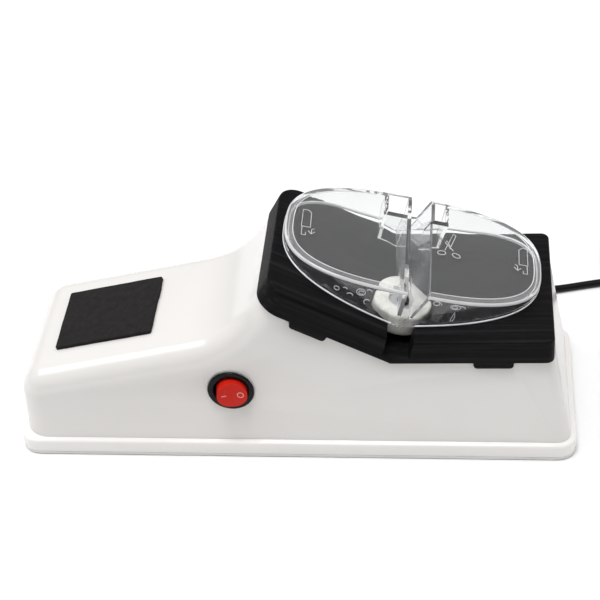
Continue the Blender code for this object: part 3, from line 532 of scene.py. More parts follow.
def make_sky():
    """A white room that is brightest overhead and dark low down in front."""
    world = bpy.data.worlds.new("studio")
    bpy.context.scene.world = world
    world.use_nodes = True
    sky = Graph(world.node_tree)
    back = sky.tree.nodes["Background"]
    back.inputs["Color"].default_value = (1.0, 1.0, 1.0, 1.0)
    room = sky.node("ShaderNodeTexCoord").outputs["Generated"]
    split = sky.node("ShaderNodeSeparateXYZ", Vector=room)
    overhead = sky.spread(split.outputs["Z"], 0.35, 0.86, 0.0, 0.9)
    away_from_front = sky.math("MULTIPLY_ADD", split.outputs["Z"], 0.7, split.outputs["Y"])
    front = sky.spread(away_from_front, 0.08, 1.0, -0.75, 0.1)
    sky.feed(back.inputs["Strength"], sky.math("MULTIPLY", overhead, front))


def add_light(name, place, target, size, power):
    data = bpy.data.lights.new(name, "AREA")
    data.size = size * MM
    data.energy = power
    made = bpy.data.objects.new(name, data)
    bpy.context.collection.objects.link(made)
    made.location = Vector(place) * MM
    aim = Vector(target) - Vector(place)
    made.rotation_euler = aim.to_track_quat("-Z", "Y").to_euler()


CAMERA_PLACE, CAMERA_LENS = (84.47, -591.26, 569.05), 94.45
CAMERA_DOWN, CAMERA_LEFT, CAMERA_ROLL = radians(40.17), radians(7.80), radians(-4.89)


def make_camera():
    data = bpy.data.cameras.new("camera")
    data.lens = CAMERA_LENS
    data.sensor_width = 36.0
    data.clip_start = 0.01
    data.clip_end = 30.0
    made = bpy.data.objects.new("camera", data)
    bpy.context.collection.objects.link(made)
    down, left, roll = CAMERA_DOWN, CAMERA_LEFT, CAMERA_ROLL
    forward = Vector((-sin(left) * cos(down), cos(left) * cos(down), -sin(down)))
    level = Vector((cos(left), sin(left), 0.0))
    upright = level.cross(forward)
    right = cos(roll) * level + sin(roll) * upright
    up = -sin(roll) * level + cos(roll) * upright
    turn = Matrix((right, up, -forward)).transposed()
    made.matrix_world = at(CAMERA_PLACE) @ turn.to_4x4()
    bpy.context.scene.camera = made


# ---- mains lead

def coil_points():
    """The coil's centreline: strands side by side and on each other, one turn after the next."""
    points = []
    per_turn = 32
    count = round(COIL_STEPS[-1][0] * per_turn)
    for i in range(1, count):
        turns = i / per_turn
        k = max(j for j in range(len(COIL_STEPS) - 1) if COIL_STEPS[j][0] <= turns)
        start, end = COIL_STEPS[k], COIL_STEPS[k + 1]
        share = (turns - start[0]) / (end[0] - start[0])
        share = share * share * (3 - 2 * share)
        column = start[1] + (end[1] - start[1]) * share
        layer = start[2] + (end[2] - start[2]) * share
        radius = COIL_MEAN_R + STRAND * column
        angle = -pi / 2 + tau * turns
        points.append((
            COIL_MID[0] + radius * cos(angle),
            COIL_MID[1] + radius * sin(angle),
            CORD_R + STRAND * layer,
        ))
    return points


def even_path(points, step):
    """Points every step millimetres along a smooth curve through the given ones."""
    knots = [Vector(p) for p in points]
    knots = [2 * knots[0] - knots[1]] + knots + [2 * knots[-1] - knots[-2]]
    dense = []
    for i in range(1, len(knots) - 2):
        a, b, c, d = knots[i - 1:i + 3]
        for k in range(12):
            t = k / 12
            dense.append(0.5 * (
                2 * b + (c - a) * t + (2 * a - 5 * b + 4 * c - d) * t * t
                + (3 * b - a - 3 * c + d) * t ** 3
            ))
    dense.append(knots[-2])
    lengths = [0.0]
    for a, b in zip(dense, dense[1:]):
        lengths.append(lengths[-1] + (b - a).length)
    count = round(lengths[-1] / step)
    path = []
    k = 0
    for i in range(count + 1):
        target = lengths[-1] * i / count
        while k < len(dense) - 2 and lengths[k + 1] < target:
            k += 1
        share = (target - lengths[k]) / max(lengths[k + 1] - lengths[k], 1e-9)
        path.append(dense[k].lerp(dense[k + 1], min(max(share, 0), 1)))
    return path, lengths[-1]


def make_lead(plug_pieces):
    route = FREE_ROUTE + coil_points() + TAIL_ROUTE
    path, length = even_path(route, 2.0)
    lead = tube("mains_lead", [(path, False)], CORD_R, 6, Matrix())
    dress(lead, "cord", "root", "cord_black", "power_cord", "cord_coil", "cord_tail")


def make_strain_relief():
    """A ribbed, tapered boot with a flange against the wall."""
    wall = wall_half_depth(EXIT_Z)
    inner, outer = wall - WALL - 0.6, wall + 0.5
    flange, neck, thick = 5.0, 3.9, 1.6
    profile = [(0, inner - 2.0), (flange - 0.2, inner - 2.0), (flange, inner - 1.8), (flange, inner)]
    profile += [(neck, inner), (neck, outer), (flange - 0.3, outer), (flange, outer + 0.3)]
    profile += [(flange, outer + thick - 0.3), (flange - 0.3, outer + thick)]
    start, ribs, rib_r, taper, groove = outer + thick, 7, 4.3, 1.25, 0.55
    pitch = (RELIEF_END_Y - 0.6 - start) / ribs
    for k in range(ribs):
        radius = rib_r - taper * k / (ribs - 1)
        y = start + pitch * k
        profile += [(radius - groove, y + 0.1), (radius - groove, y + 0.35 * pitch)]
        profile += [(radius, y + 0.45 * pitch), (radius, y + 0.9 * pitch)]
    profile += [(2.9, RELIEF_END_Y - 0.3), (2.6, RELIEF_END_Y), (0, RELIEF_END_Y)]
    place = at((EXIT_X, 0, EXIT_Z), -pi / 2)
    relief = finish_mesh("strain_relief_boot", turned(profile, 48), place)
    return dress(relief, "cord", "root", "cord_black", "strain_relief")


def make_tie():
    """A flat plastic band around the coil's strands."""
    low, high, thick = 0.1, COIL_SIZE + GAP + 0.7, 0.65
    half_x, half_z, middle = COIL_SIZE / 2 + 1.0, (high - low) / 2, (COIL_MEAN_R, (high + low) / 2)
    band = rounded_rectangle(half_x, half_z, 1.6, 5, middle)
    hole = rounded_rectangle(half_x - 0.7, half_z - thick, 1.1, 5, middle)
    place = at((*COIL_MID, 0))
    tie = finish_mesh("lead_tie", prism(band, -2.0, 2.0, "Y"), place)
    carve(tie, [prism(hole, -5.0, 5.0, "Y")], place)
    soften(tie, 0.12, 2)
    return dress(tie, "black", "root", "cord_black", "cord_tie")


def make_plug():
    """Flat two-pin plug: a rounded body with a waist, grip ribs and round pins."""
    half, thick, end = 13.0, 6.7, -PLUG_LENGTH
    side = [
        (3.4, 0), (3.9, -5), (4.4, -9), (6.6, -12), (9.4, -14.4), (12.0, -17.4), (half, -20.6),
        (half, -33.5), (12.6, -35.2), (10.8, end),
    ]
    mirrored = [(-x, y) for x, y in side]
    bm = prism(mirrored[:1] + side + mirrored[:0:-1], -thick, thick)
    edges = [e for e in bm.edges if abs(e.verts[0].co.z - e.verts[1].co.z) < 1e-4]
    bevel(bm, edges, 2.4, 6)
    place = at((PLUG_X, PLUG_BACK_Y, PLUG_Z))
    body = finish_mesh("plug_moulding", bm, place)
    grooves = []
    for k in range(5):
        y = -21.5 - 2.5 * k
        for low, high in ((-half - 3, 0.5 - half), (half - 0.5, half + 3)):
            grooves.append(box((low, y - 0.6, -4.2), (high, y + 0.6, 4.2)))
    carve(body, grooves, place)
    soften(body, 0.2, 2)
    dress(body, "cord", "root", "cord_black", "plug_body")
    pins = []
    pin_r, shoulder, tip_z = 2.0, 16.7, 18.7
    for k, x in enumerate((-9.3, 9.3)):
        pin_place = at((PLUG_X + x, PLUG_BACK_Y + end - GAP, PLUG_Z), pi / 2)
        tip = [(pin_r * cos(a), shoulder + pin_r * sin(a)) for a in (0.0, 0.35, 0.7, 1.05, 1.3)]
        profile = [(0, 0), (pin_r, 0)] + tip + [(0, tip_z)]
        pin = finish_mesh(f"pin_{k + 1}", turned(profile, 40), pin_place)
        pins.append(dress(pin, "brass", "root", "brass_parts", f"plug_pin_{k + 1}"))
    return [body] + pins


# ---- housing

def wall_half_depth(z, inset=0.0):
    return DEPTH / 2 - RIM_LEDGE - inset - (z - RIM_TOP) * tan(WALL_DRAFT)


SWITCH_MATRIX = at((SWITCH_X, -wall_half_depth(SWITCH_Z), SWITCH_Z), pi / 2 - WALL_DRAFT)


def wall_right_x(z, inset=0.0):
    return LENGTH / 2 - RIM_LEDGE - inset - (z - RIM_TOP) * tan(RIGHT_LEAN)


def wall_left_x(z, inset=0.0):
    return -LENGTH / 2 + RIM_LEDGE + inset + (z - RIM_TOP) * tan(LEFT_LEAN)


def handle_height(x, inset=0.0):
    return HANDLE_Z + (x - HANDLE_X) * tan(HANDLE_SLOPE) - inset / cos(HANDLE_SLOPE)


def body_profile(inset, floor_z, steps):
    left_x = wall_left_x(handle_height(-135.0), inset)
    centre = (
        NECK_START_X - NECK_RADIUS * sin(HANDLE_SLOPE),
        handle_height(NECK_START_X) + NECK_RADIUS * cos(HANDLE_SLOPE),
    )
    bend = arc(centre, NECK_RADIUS + inset, HANDLE_SLOPE - pi / 2, NECK_TURN - pi / 2, steps)
    rise = (SHELL_TOP - inset - bend[-1][1]) / sin(NECK_TURN)
    crest = (bend[-1][0] + rise * cos(NECK_TURN), SHELL_TOP - inset)
    return (
        [(wall_left_x(floor_z, inset), floor_z), (left_x, handle_height(left_x, inset))]
        + bend
        + [crest, (wall_right_x(SHELL_TOP, inset), SHELL_TOP - inset)]
        + [(wall_right_x(floor_z, inset), floor_z)]
    )


def edge_between(a, b):
    return next(edge for edge in a.link_edges if edge.other_vert(a) is b)


def middle_of(edge):
    return (edge.verts[0].co + edge.verts[1].co) / 2


def body_block(name, inset, floor_z, edge_round, right_round, steps):
    """A wedge with rounded top edges and a radius of its own up both right corners."""
    outline = body_profile(inset, floor_z, 30)
    bm = bmesh.new()
    sides = []
    for side in (-1, 1):
        sides.append([bm.verts.new((x, side * wall_half_depth(z, inset), z)) for x, z in outline])
        bm.faces.new(sides[-1])
    bridge(bm, *sides)
    bmesh.ops.recalc_face_normals(bm, faces=bm.faces)
    last = len(outline) - 1
    soft = [edge_between(ring[i], ring[i + 1]) for ring in sides for i in range(last - 1)]
    soft += [edge_between(sides[0][i], sides[1][i]) for i in (1, last - 1)]
    upright = [edge_between(ring[last - 1], ring[last]) for ring in sides]
    middles = [middle_of(edge) for edge in upright]
    bevel(bm, soft, edge_round, steps)
    tall = [e for e in bm.edges if abs(e.verts[0].co.z - e.verts[1].co.z) > 60]
    chosen = [min(tall, key=lambda e: (middle_of(e) - spot).length) for spot in middles]
    bevel(bm, chosen, right_round, steps)
    return finish_mesh(name, bm)


def wing_axes(sign):
    """Unit vectors along the left (-1) or right (1) wing and down through it."""
    slope = HEAD_TILT - sign * WING_ANGLE
    return Vector((cos(slope), 0, -sin(slope))), Vector((-sin(slope), 0, -cos(slope)))


def head_underside(drop):
    """The line under both wings at a drop below them, longer than the wings are."""
    turn = Matrix.Rotation(HEAD_TILT, 3, "Y")
    depth = HEAD_THICK + drop
    valley = Vector(VALLEY) + turn @ Vector((0.0, 0.0, -depth / cos(WING_ANGLE)))
    left, right = [valley + sign * 110.0 * wing_axes(sign)[0] for sign in (-1, 1)]
    return [(left.x, left.z), (valley.x, valley.z), (right.x, right.z)]


def latch_boxes(grow):
    """Outlines of the snap tabs under the wings, or of their notches when they grow."""
    boxes = []
    for sign, mid in LATCH_MIDS:
        along, down = wing_axes(sign)
        start = Vector(VALLEY) + along * mid
        high, deep, wide = HEAD_THICK - 1.5 - grow, HEAD_THICK + 3.2 + grow, LATCH_HALF + grow
        bend = TAB_CORNER + grow
        plan = [(-wide, high), (wide, high)]
        plan += arc((wide - bend, deep - bend), bend, 0.0, pi / 2, 6)
        plan += arc((bend - wide, deep - bend), bend, pi / 2, pi, 6)
        places = [start + along * a + down * b for a, b in plan]
        boxes.append([(place.x, place.z) for place in places])
    return boxes


def make_housing():
    """Glossy moulded shell: rounded wedge, stepped rim, switch hole, lead hole, latch notches."""
    shell = body_block("housing", 0.0, RIM_TOP - 4.0, EDGE_ROUND, RIGHT_ROUND, 14)
    rim = prism(rounded_rectangle(LENGTH / 2, DEPTH / 2, RIM_CORNER, 14), RIM_LOW, RIM_TOP)
    bevel(rim, level_edges(rim, RIM_TOP), 1.4, 6)
    carve(shell, [rim], operation="UNION")
    hollow = rounded_rectangle(LENGTH / 2 - WALL, DEPTH / 2 - WALL, RIM_CORNER - WALL, 8)
    line = head_underside(GAP)
    sky_z = 190.0
    above = line + [(line[2][0], sky_z), (line[0][0], sky_z)]
    cuts = [
        body_block("tool", WALL, -6.0, EDGE_ROUND - WALL, RIGHT_ROUND - WALL, 8),
        prism(hollow, -5.0, RIM_TOP - WALL),
        prism(above, -60, 60, "Y"),
    ]
    for outline in latch_boxes(GAP):
        cuts += both_sides(outline, 38.2, 50.0)
    carve(shell, cuts)
    through = (-12.0, 12.0)
    carve(shell, [prism(circle(BARREL_R + GAP, 96), *through)], SWITCH_MATRIX)
    lead_hole = at((EXIT_X, wall_half_depth(EXIT_Z), EXIT_Z), pi / 2)
    carve(shell, [prism(circle(EXIT_HOLE_R, 48), *through)], lead_hole)
    soften(shell, 0.3, 2, 50.0)
    coat(shell, "white", "white_rim_painted_light")
    # The rim's faces take the lighter copy of the white: painted light on the rim
    for face in shell.data.polygons:
        if face.center.z < (RIM_TOP + 0.1) * MM:
            face.material_index = 1
    ride(shell, "root", "housing_white", "housing_shell")


def make_hand_pad():
    """Cut foam sheet: slightly uneven edges and a soft top edge."""
    chance = random.Random(7)
    outline = rounded_rectangle(PAD_LENGTH / 2, PAD_WIDTH / 2, 1.0, 4)
    fine = []
    for a, b in zip(outline, outline[1:] + outline[:1]):
        steps = max(1, round(dist(a, b) / 2.0))
        for i in range(steps):
            t = i / steps
            fine.append((a[0] + (b[0] - a[0]) * t, a[1] + (b[1] - a[1]) * t))
    trim, wander, reach = 0.25, 0.28, 24.0
    rough = []
    for x, y in fine:
        drift = wander * noise.noise(Vector((x * 0.13, y * 0.13, 2.0))) + chance.uniform(-0.04, 0.04)
        size = max(abs(x) / (PAD_LENGTH / 2), abs(y) / (PAD_WIDTH / 2))
        shrink = 1 - (trim + drift) / reach * size
        rough.append((x * shrink, y * shrink))
    bm = prism(rough, -PAD_THICK / 2, PAD_THICK / 2)
    bevel(bm, level_edges(bm, PAD_THICK / 2), 0.45, 4)
    lift = (GAP + PAD_THICK / 2) / cos(HANDLE_SLOPE)
    place = at((PAD_MID_X, PAD_MID_Y, handle_height(PAD_MID_X) + lift), -HANDLE_SLOPE, "Y")
    dress(finish_mesh("hand_rest_pad", bm, place), "pad", "root", "pad_black", "hand_pad")


# ---- switch

def make_switch():
    """Round bezel with its barrel, and a rocker on a pin with the on and off marks."""
    depth, pivot, seat = -16.0, (0, 0, -3), 8.3
    lip = arc((BEZEL_R - 0.6, 0.7), 0.6, 0.0, pi / 2, 6)
    profile = [(0, depth), (BARREL_R - 0.4, depth), (BARREL_R, depth + 0.4), (BARREL_R, GAP)]
    profile += [(BEZEL_R, GAP)] + lip + [(9.3, 1.3), (8.9, 1.25), (8.5, 0.9)]
    profile += [(seat, 0.4), (seat, -9), (0, -9)]
    body = finish_mesh("switch_bezel", turned(profile, 96), SWITCH_MATRIX)
    carve(body, [prism(circle(1.35, 24), -9.3, 9.3)], SWITCH_MATRIX @ at(pivot, pi / 2))
    shade(body, 30)
    dress(body, "bezel", "root", "switch_black", "switch_body")

    hinge = SWITCH_MATRIX @ at(pivot, ROCKER_TILT, "Y")
    top = [(x, rocker_height(x)) for x in (ROCKER_REACH, 6.8, 5.6, 4.4, 3.2, 2.0, 1.0, 0.0)]
    outline = [(-6.0, -3.6), (6.0, -3.6), (ROCKER_REACH, -1.0)] + top
    outline += [(-x, z) for x, z in reversed(top[:-1])] + [(-ROCKER_REACH, -1.0)]
    rocker = finish_mesh("rocker_button", prism(outline, -8, 8, "Y"), hinge)
    carve(rocker, [prism(circle(ROCKER_R, 96), -9, 9)], hinge, "INTERSECT")
    soften(rocker, 0.5, 4, 35.0)
    pin = hinge @ Matrix.Rotation(pi / 2, 4, "X")
    carve(rocker, [prism(circle(1.0, 24), -8.9, 8.9)], pin, "UNION")
    shade(rocker, 30)
    dress(rocker, "rocker", "rocker", "rocker_red", "switch_rocker")

    low, high = -0.2, 0.06
    bar = prism(rounded_rectangle(1.25, 0.25, 0.22, 4), low, high)
    ring = turned([(1.25, low), (1.75, low), (1.75, high), (1.25, high)], 40, True)
    for name, side, bm in (("rocker_on_mark", -1, bar), ("rocker_off_mark", 1, ring)):
        middle = 4.1 * side
        slope = atan(rocker_height(4.9) - rocker_height(3.9))
        spot = at((middle, 0, rocker_height(middle)), -side * slope, "Y")
        dress(finish_mesh(name, bm, hinge @ spot), "mark", "rocker", "rocker_red")


def rocker_height(x):
    """Height of the rocker's dished face over its pivot."""
    return 6.9 + 1.2 * (abs(x) / ROCKER_REACH) ** 1.3


# ---- head

def slab_outline(inset, steps):
    left, right, half = LEFT_WING - inset, RIGHT_WING - inset, HEAD_HALF_DEPTH - inset
    lr, rr = max(LEFT_CORNER - inset, 1.0), max(RIGHT_CORNER - inset, 1.0)
    return (
        [(0.0, -half)]
        + arc((right - rr, -half + rr), rr, -pi / 2, 0, steps)
        + arc((right - rr, half - rr), rr, 0, pi / 2, steps)
        + [(0.0, half)]
        + arc((-left + lr, half - lr), lr, pi / 2, pi, steps)
        + arc((-left + lr, -half + lr), lr, pi, 1.5 * pi, steps)
    )


def wing_place(s, y, depth):
    """A point at s along a wing and depth below its top face, in the head frame."""
    if s == 0:
        return Vector((0.0, y, -depth / cos(WING_ANGLE)))
    side = 1 if s > 0 else -1
    x = s * cos(WING_ANGLE) + side * depth * sin(WING_ANGLE)
    z = abs(s) * sin(WING_ANGLE) - depth * cos(WING_ANGLE)
    return Vector((x, y, z))


def slab(rings):
    """A V-shaped plate through rings of (outline, depth), top to bottom."""
    bm = bmesh.new()
    made = [[bm.verts.new(wing_place(s, y, d)) for s, y in outline] for outline, d in rings]
    outline = rings[0][0]
    back = next(i for i in range(1, len(outline)) if outline[i][0] == 0)
    for verts in (made[0], made[-1]):
        bm.faces.new(verts[:back + 1])
        bm.faces.new([verts[0]] + verts[back:])
    for high, low in zip(made, made[1:]):
        bridge(bm, high, low)
    return bm


def make_head():
    """Black V plate with softened edges, wheel well, front channel, latches and streaked grain."""
    rings = [(slab_outline(inset, 14), depth) for depth, inset in quarter_round(1.2, 5)]
    rings.append((slab_outline(0.0, 14), HEAD_THICK - 0.4))
    rings.append((slab_outline(0.4, 14), HEAD_THICK))
    cover = finish_mesh("head_plate", slab(rings), HEAD_MATRIX)
    skirt = slab_outline(HEAD_SKIRT, 8)
    hollow = finish_mesh("tool", slab([(skirt, HEAD_SKIN), (skirt, HEAD_THICK + 12.0)]), HEAD_MATRIX)
    spindle = (SPINDLE_X, SPINDLE_Y)
    half = CHANNEL_HALF + 2.2
    cores = [
        prism(circle(WELL_R + 2.4, 64, spindle), -40, 30),
        box((SPINDLE_X - half, -60, -41), (SPINDLE_X + half, SPINDLE_Y, 31)),
    ]
    cores += [prism(circle(3.4, 24, (x, SPINDLE_Y)), -45, 32) for x in BRACKET_SCREWS]
    carve(hollow, cores, HEAD_MATRIX)
    carve(cover, [hollow])
    tabs = []
    for outline in latch_boxes(0.0):
        tabs += both_sides(outline, 38.6, HEAD_HALF_DEPTH - 0.1)
    carve(cover, tabs, operation="UNION")
    cuts = [
        prism(circle(WELL_R, 96, spindle), WELL_FLOOR, 30),
        box((SPINDLE_X - CHANNEL_HALF, -70, CHANNEL_FLOOR), (SPINDLE_X + CHANNEL_HALF, SPINDLE_Y, 33)),
        prism(circle(5.2, 40, spindle), -30, 0),
        box((4.0, 5.5, -20), (6.4, 12.5, 20)),
    ]
    cuts += [prism(circle(0.9, 16, (x, SPINDLE_Y)), -30, -5.5) for x in BRACKET_SCREWS]
    carve(cover, cuts, HEAD_MATRIX)
    soften(cover, 0.25, 2, 50.0)
    coat(cover, "left_wing", "right_wing")
    back = HEAD_MATRIX.inverted()
    for face in cover.data.polygons:
        face.material_index = 0 if (back @ face.center).x < 0 else 1
    ride(cover, "root", "head_black", "head_cover")


# ---- clear guard

def oval(inset, count=176):
    half_x, half_y = GUARD_HALF[0] - inset, GUARD_HALF[1] - inset
    points = []
    for i in range(count):
        a = tau * i / count
        c, s = cos(a), sin(a)
        x = half_x * copysign(abs(c) ** (2 / GUARD_POWER), c)
        y = half_y * copysign(abs(s) ** (2 / GUARD_POWER), s)
        points.append((GUARD_MID[0] + x, GUARD_MID[1] + y))
    return points


def notch_right(z, extra=0.0):
    """X of the blade notch's right wall at a height; its left wall stands at x = 0."""
    return NOTCH_LOW_WIDTH + (NOTCH_TOP_WIDTH - NOTCH_LOW_WIDTH) / GUARD_TOP * z + extra


def rounded_cup(inset, low, top, radius, ring=0.0):
    """The oval prism with a rounded top edge, and a flat ring inside it when one is given."""
    bm = bmesh.new()
    levels = [(inset, low)] + [(inset + x, top - z) for x, z in quarter_round(radius, 6)]
    if ring:
        levels.append((inset + radius + ring, top))
    rings = [[bm.verts.new((x, y, z)) for x, y in oval(i)] for i, z in levels]
    bm.faces.new(rings[0])
    bm.faces.new(rings[-1])
    for a, b in zip(rings, rings[1:]):
        bridge(bm, a, b)
    return bm


def make_guard():
    """One clear moulding: rounded oval cover, blade notch, two guide slots, open over the wheel."""
    place = HEAD_MATRIX
    outer = rounded_cup(0.0, -4.0, GUARD_TOP, GUARD_ROUND, GUARD_RING)
    guard = finish_mesh("clear_cover", outer, place)
    inside = finish_mesh("tool", rounded_cup(GUARD_WALL, -8.0, GUARD_TOP - GUARD_PLATE, 0.8), place)
    low, high = -12.0, GUARD_TOP + 8.0
    divider = [
        (-GUARD_WALL, low), (notch_right(low, GUARD_WALL), low),
        (notch_right(high, GUARD_WALL), high), (-GUARD_WALL, high),
    ]
    blocks = [prism(divider, -50, 70, "Y")]
    for left, right in ((SLOT_LEFT_X, 0.0), (9.0, SLOT_RIGHT_X)):
        blocks.append(box((left, SLOT_Y, low - 1), (right, 60.0, high + 1)))
    carve(inside, blocks, place)
    carve(guard, [inside])
    back_y = GUARD_MID[1] + GUARD_HALF[1]
    floor_z = NOTCH_BACK_FLOOR
    near_y, far_y = SLOT_Y + GUARD_WALL, back_y - GUARD_WALL
    slot_right = SLOT_RIGHT_X - GUARD_WALL
    rest, rise, wide = GAP / cos(WING_ANGLE), tan(WING_ANGLE), 120
    notch = [(0.0, -14.0), (0.2, -14.0), (notch_right(-2.0), -2.0), (notch_right(35.0), 35.0),
             (0.0, 35.0)]
    back_notch = [(-0.1, floor_z), (notch_right(floor_z, 0.1), floor_z), (notch_right(36.0, 0.1), 36.0),
                  (-0.1, 36.0)]
    slot_left = notch_right(GUARD_TOP, GUARD_WALL)
    right_slot = [(notch_right(-15.0, GUARD_WALL), -15.0), (slot_right, -15.0), (slot_right, 38.0),
                  (slot_left, 38.0), (slot_left, GUARD_TOP)]
    under_wings = [(-wide, rest + wide * rise), (0, rest), (wide, rest + wide * rise), (wide, -80),
                   (-wide, -80)]
    carve(guard, [
        prism(notch, -60, far_y, "Y"),
        prism(back_notch, far_y - 1, 70, "Y"),
        box((SLOT_LEFT_X + GUARD_WALL, near_y, -15), (-GUARD_WALL, far_y, 37)),
        prism(right_slot, near_y + 0.01, far_y - 0.01, "Y"),
        prism(circle(WHEEL_R + 0.5, 72, (SPINDLE_X, SPINDLE_Y)), -16.0, WHEEL_CLEAR),
        prism(under_wings, -61, 71, "Y"),
    ], place)
    # Painted highlights: the softened edges, the rounded top edge, the flat ring round the top and the
    # divider walls get whitened acrylic where light gathers on them
    coat(guard, "clear", "edge_painted_highlight", "wall_painted_highlight", "rim_band_painted_highlight")
    soften(guard, 0.4, 3, 50.0, 1)
    back = HEAD_MATRIX.inverted()
    inner = [half - GUARD_INNER for half in GUARD_HALF]
    for face in guard.data.polygons:
        spot = back @ face.center / MM
        facing = back.to_3x3() @ face.normal
        reach = sum((abs(spot[k] - GUARD_MID[k]) / inner[k]) ** GUARD_POWER for k in (0, 1))
        if spot.z > GUARD_TOP - GUARD_ROUND - 0.1 and 0.06 < facing.z < 0.97:
            face.material_index = 1
        elif spot.z > GUARD_TOP - 0.1 and facing.z > 0.97 and reach > 1.0:
            face.material_index = 3
        elif face.material_index == 0 and abs(facing.x) > 0.85 and -GUARD_WALL - 0.5 < spot.x < 12.0:
            face.material_index = 2
    ride(guard, "guard", "guard_clear", "clear_guard")


def two_runs(ring, in_gap):
    """The left and the right run of a closed ring, without the points that lie in a gap."""
    gap = [i for i, spot in enumerate(ring) if in_gap(*spot)]
    front = [i for i in gap if ring[i][1] < 0]
    back = [i for i in gap if ring[i][1] > 0]
    return [(ring[max(back) + 1:min(front)], False), (ring[max(front) + 1:] + ring[:min(back)], False)]


def make_guard_beads():
    """Thin beads of whitened acrylic as painted highlight lines: one along the guard's foot, a fine one
    inside its top edge.
    """
    foot_r, top_r = 0.5, 0.2
    rest, rise = GAP / cos(WING_ANGLE) + foot_r - 0.05, tan(WING_ANGLE)
    foot = [(x, y, rest + abs(x) * rise) for x, y in oval(0.25)]
    runs = two_runs(foot, lambda x, y, z: -0.6 < x < notch_right(z) + 0.6)
    guard_line("guard_foot_bead", runs, foot_r, "bead")
    top = [(x, y, GUARD_TOP + 0.02) for x, y in oval(GUARD_INNER)]

    def open_above(x, y, z):
        over_slots = y > SLOT_Y and SLOT_LEFT_X - 1 < x < SLOT_RIGHT_X + 1
        return over_slots or -0.8 < x < notch_right(z) + 0.8

    guard_line("guard_top_bead", two_runs(top, open_above), top_r, "edge_painted_highlight")


def guard_line(name, strokes, radius=0.22, look="frost"):
    """Thin raised strokes on the guard, in the head's frame."""
    dress(tube(name, strokes, radius, 2, HEAD_MATRIX), look, "guard", "guard_clear")


def make_pictograms():
    """Generic pictures on the guard: a knife in each end, scissors by the notch, sparks in front."""
    top = GUARD_TOP + 0.05

    def flat(points):
        return [(x, y, top) for x, y in points]

    def handle(x, y, turn):
        """A finger hole of the scissors."""
        c, s = cos(turn), sin(turn)
        hole = ellipse((0.0, 0.0), (2.1, 1.5), count=20)[:-1]
        return flat([(x + px * c - py * s, y + px * s + py * c) for px, py in hole])

    def knife(x, y, flip):
        blade = [(-2.0, 0.0), (-2.0, 13.0), (0.5, 13.2), (2.2, 11.4), (2.4, 0.0)]
        grip = [(-1.6, 0.0), (-1.6, -6.4), (0.4, -6.4), (0.4, -4.6)]
        arrow = [(1.6, -2.8), (3.2, -4.9), (4.8, -2.8)]
        stem = [(3.2, -4.9), (3.2, -1.2), (4.4, -0.6)]
        lines = ((blade, True), (grip, False), (arrow, False), (stem, False))
        return [(flat([(x + flip * px, y + py) for px, py in line]), closed) for line, closed in lines]

    guard_line("knife_picture_left", knife(-51.5, 4.0, 1))
    guard_line("knife_picture_right", knife(56.5, 7.0, -1))
    guard_line("scissors_picture", [
        (flat([(17.2, 6.8), (21.2, 20.5), (22.6, 19.6), (19.6, 8.6)]), False),
        (flat([(21.4, 7.4), (17.4, 12.6), (18.0, 14.6), (19.8, 10.6)]), False),
        (handle(15.6, 4.4, 0.3), True),
        (handle(22.8, 4.2, -0.5), True),
    ])

    def on_wall(points):
        return [(x, front_wall(x) - 0.05, z) for x, z in points]

    def curl(*shape):
        return on_wall(ellipse(*shape))

    guard_line("spark_picture_left", [
        (curl((-32.7, 14.9), (1.2, 1.1)), True),
        (curl((-28.9, 15.9), (1.1, 0.9), 0.3, 2.6), False),
        (curl((-26.0, 13.2), (1.4, 1.2), 0.2, 2.9), False),
        (curl((-21.3, 16.7), (2.1, 1.9)), True),
        (curl((-21.1, 16.5), (1.2, 1.0), 0.6, 5.6), False),
        (curl((-17.6, 18.2), (1.3, 1.1), 0.2, 2.9), False),
        (curl((-17.4, 11.7), (1.5, 1.5), 0.9, 4.4), False),
        (curl((14.4, 19.2), (1.5, 1.2)), True),
        (on_wall([(15.4, 20.2), (16.6, 19.6), (16.9, 18.6)]), False),
    ])
    guard_line("spark_picture_right", [
        (curl((23.6, 18.6), (2.4, 1.3)), True),
        (curl((23.3, 18.5), (1.3, 0.7)), True),
        (on_wall([(25.6, 19.4), (27.4, 19.6), (28.3, 18.6)]), False),
        (on_wall([(23.9, 15.8), (22.9, 9.9), (24.1, 10.0), (24.6, 12.4)]), True),
    ])


def front_wall(x):
    """Y of the guard's front face at x, in the head frame."""
    reach = 1 - abs((x - GUARD_MID[0]) / GUARD_HALF[0]) ** GUARD_POWER
    return GUARD_MID[1] - GUARD_HALF[1] * reach ** (1 / GUARD_POWER)


# ---- spindle

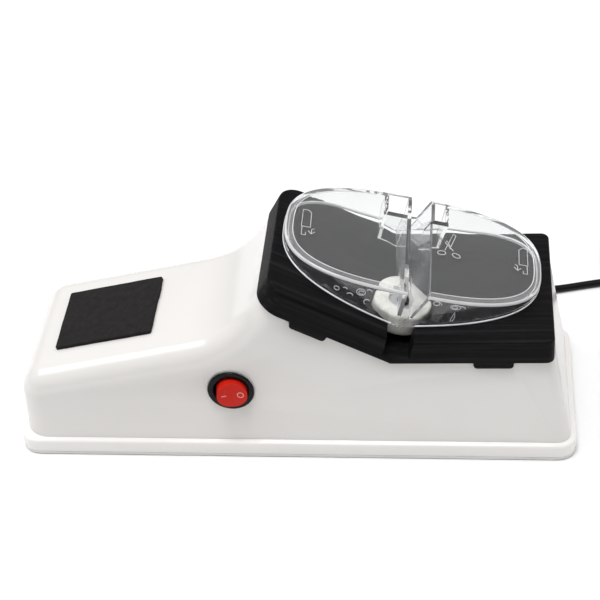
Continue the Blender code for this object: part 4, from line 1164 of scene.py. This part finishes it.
def make_wheel():
    """Cream grinding wheel: rounded rims, dished hub and a slightly worn edge."""
    low, top, hub, round_r, rows = WHEEL_LOW, WHEEL_TOP, 2.0, 1.2, 8
    profile = [(4.4, low), (WHEEL_R - 0.8, low), (WHEEL_R - 0.3, low + 0.2), (WHEEL_R, low + 0.8)]
    for k in range(1, rows):
        profile.append((WHEEL_R, low + 0.8 + (top - low - 2.0) * k / rows))
    profile += arc((WHEEL_R - round_r, top - round_r), round_r, 0.0, pi / 2, 6)
    profile += [(10.6, top), (7.6, top), (7.2, top - 0.15), (6.7, hub + 0.2), (6.5, hub), (4.4, hub)]
    bm = turned(profile, 160, True)
    for vert in bm.verts:
        radius = hypot(vert.co.x, vert.co.y)
        if radius > 9.0:
            wear = 0.09 * noise.noise(vert.co * 0.9) + 0.05 * noise.noise(vert.co * 3.0)
            shrink = 1 - max(0.0, 0.1 + wear) / radius
            vert.co.x *= shrink
            vert.co.y *= shrink
    wheel = finish_mesh("stone_wheel", bm, SPINDLE_MATRIX, 50.0)
    dress(wheel, "stone", "spindle", "wheel_stone", "grinding_wheel")

    head = [(0, -1.0), (1.2, -1.0), (1.2, 3.4), (3.0, 3.4), (3.1, 3.5), (3.1, 4.3), (2.7, 4.9),
            (1.6, 5.15), (0, 5.2)]
    screw = finish_mesh("wheel_cap_screw", turned(head, 64), SPINDLE_MATRIX)
    long, short, floor_z = 2.2, 0.35, 3.9
    cross = ((long, short, 8.0), (short, long, 8.1))
    carve(screw, [box((-x, -y, floor_z), (x, y, high)) for x, y, high in cross], SPINDLE_MATRIX)
    dress(screw, "dark_steel", "spindle", "dark_screw", "wheel_screw")


# ---- carried-over nodes

def numbered(*names, count=2):
    return [f"{name}_{number}" for name in names for number in range(1, count + 1)]


CAD_LOOKS = {
    "base": ["base_plate"],
    "foot": numbered("foot", count=4),
    "bronze": ["front_bush", "rear_bush"],
    "zinc": ["motor_can", "motor_bracket", "wheel_washer"],
    "black": ["motor_end_cap", "rectifier_block"],
    "ferrite": numbered("carbon_brush", "motor_magnet"),
    "steel": ["motor_armature", "motor_shaft"] + numbered("base_screw", count=4)
    + numbered("motor_screw", "bracket_screw", "clamp_screw"),
    "brass": ["motor_commutator", "wheel_arbor"] + numbered("switch_terminal"),
    "nylon": ["cord_clamp"],
    "lead_red": ["lead_live_in", "lead_switched"],
    "cord": ["lead_neutral_in"],
}


def dress_cad_nodes():
    for look, nodes in CAD_LOOKS.items():
        for node in nodes:
            coat(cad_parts[node], look)


make_stage()
make_camera()
plug_parts = make_plug()
make_lead([make_strain_relief(), make_tie()] + plug_parts)
make_housing()
make_hand_pad()
make_switch()
make_head()
make_guard()
make_guard_beads()
make_pictograms()
make_wheel()
dress_cad_nodes()
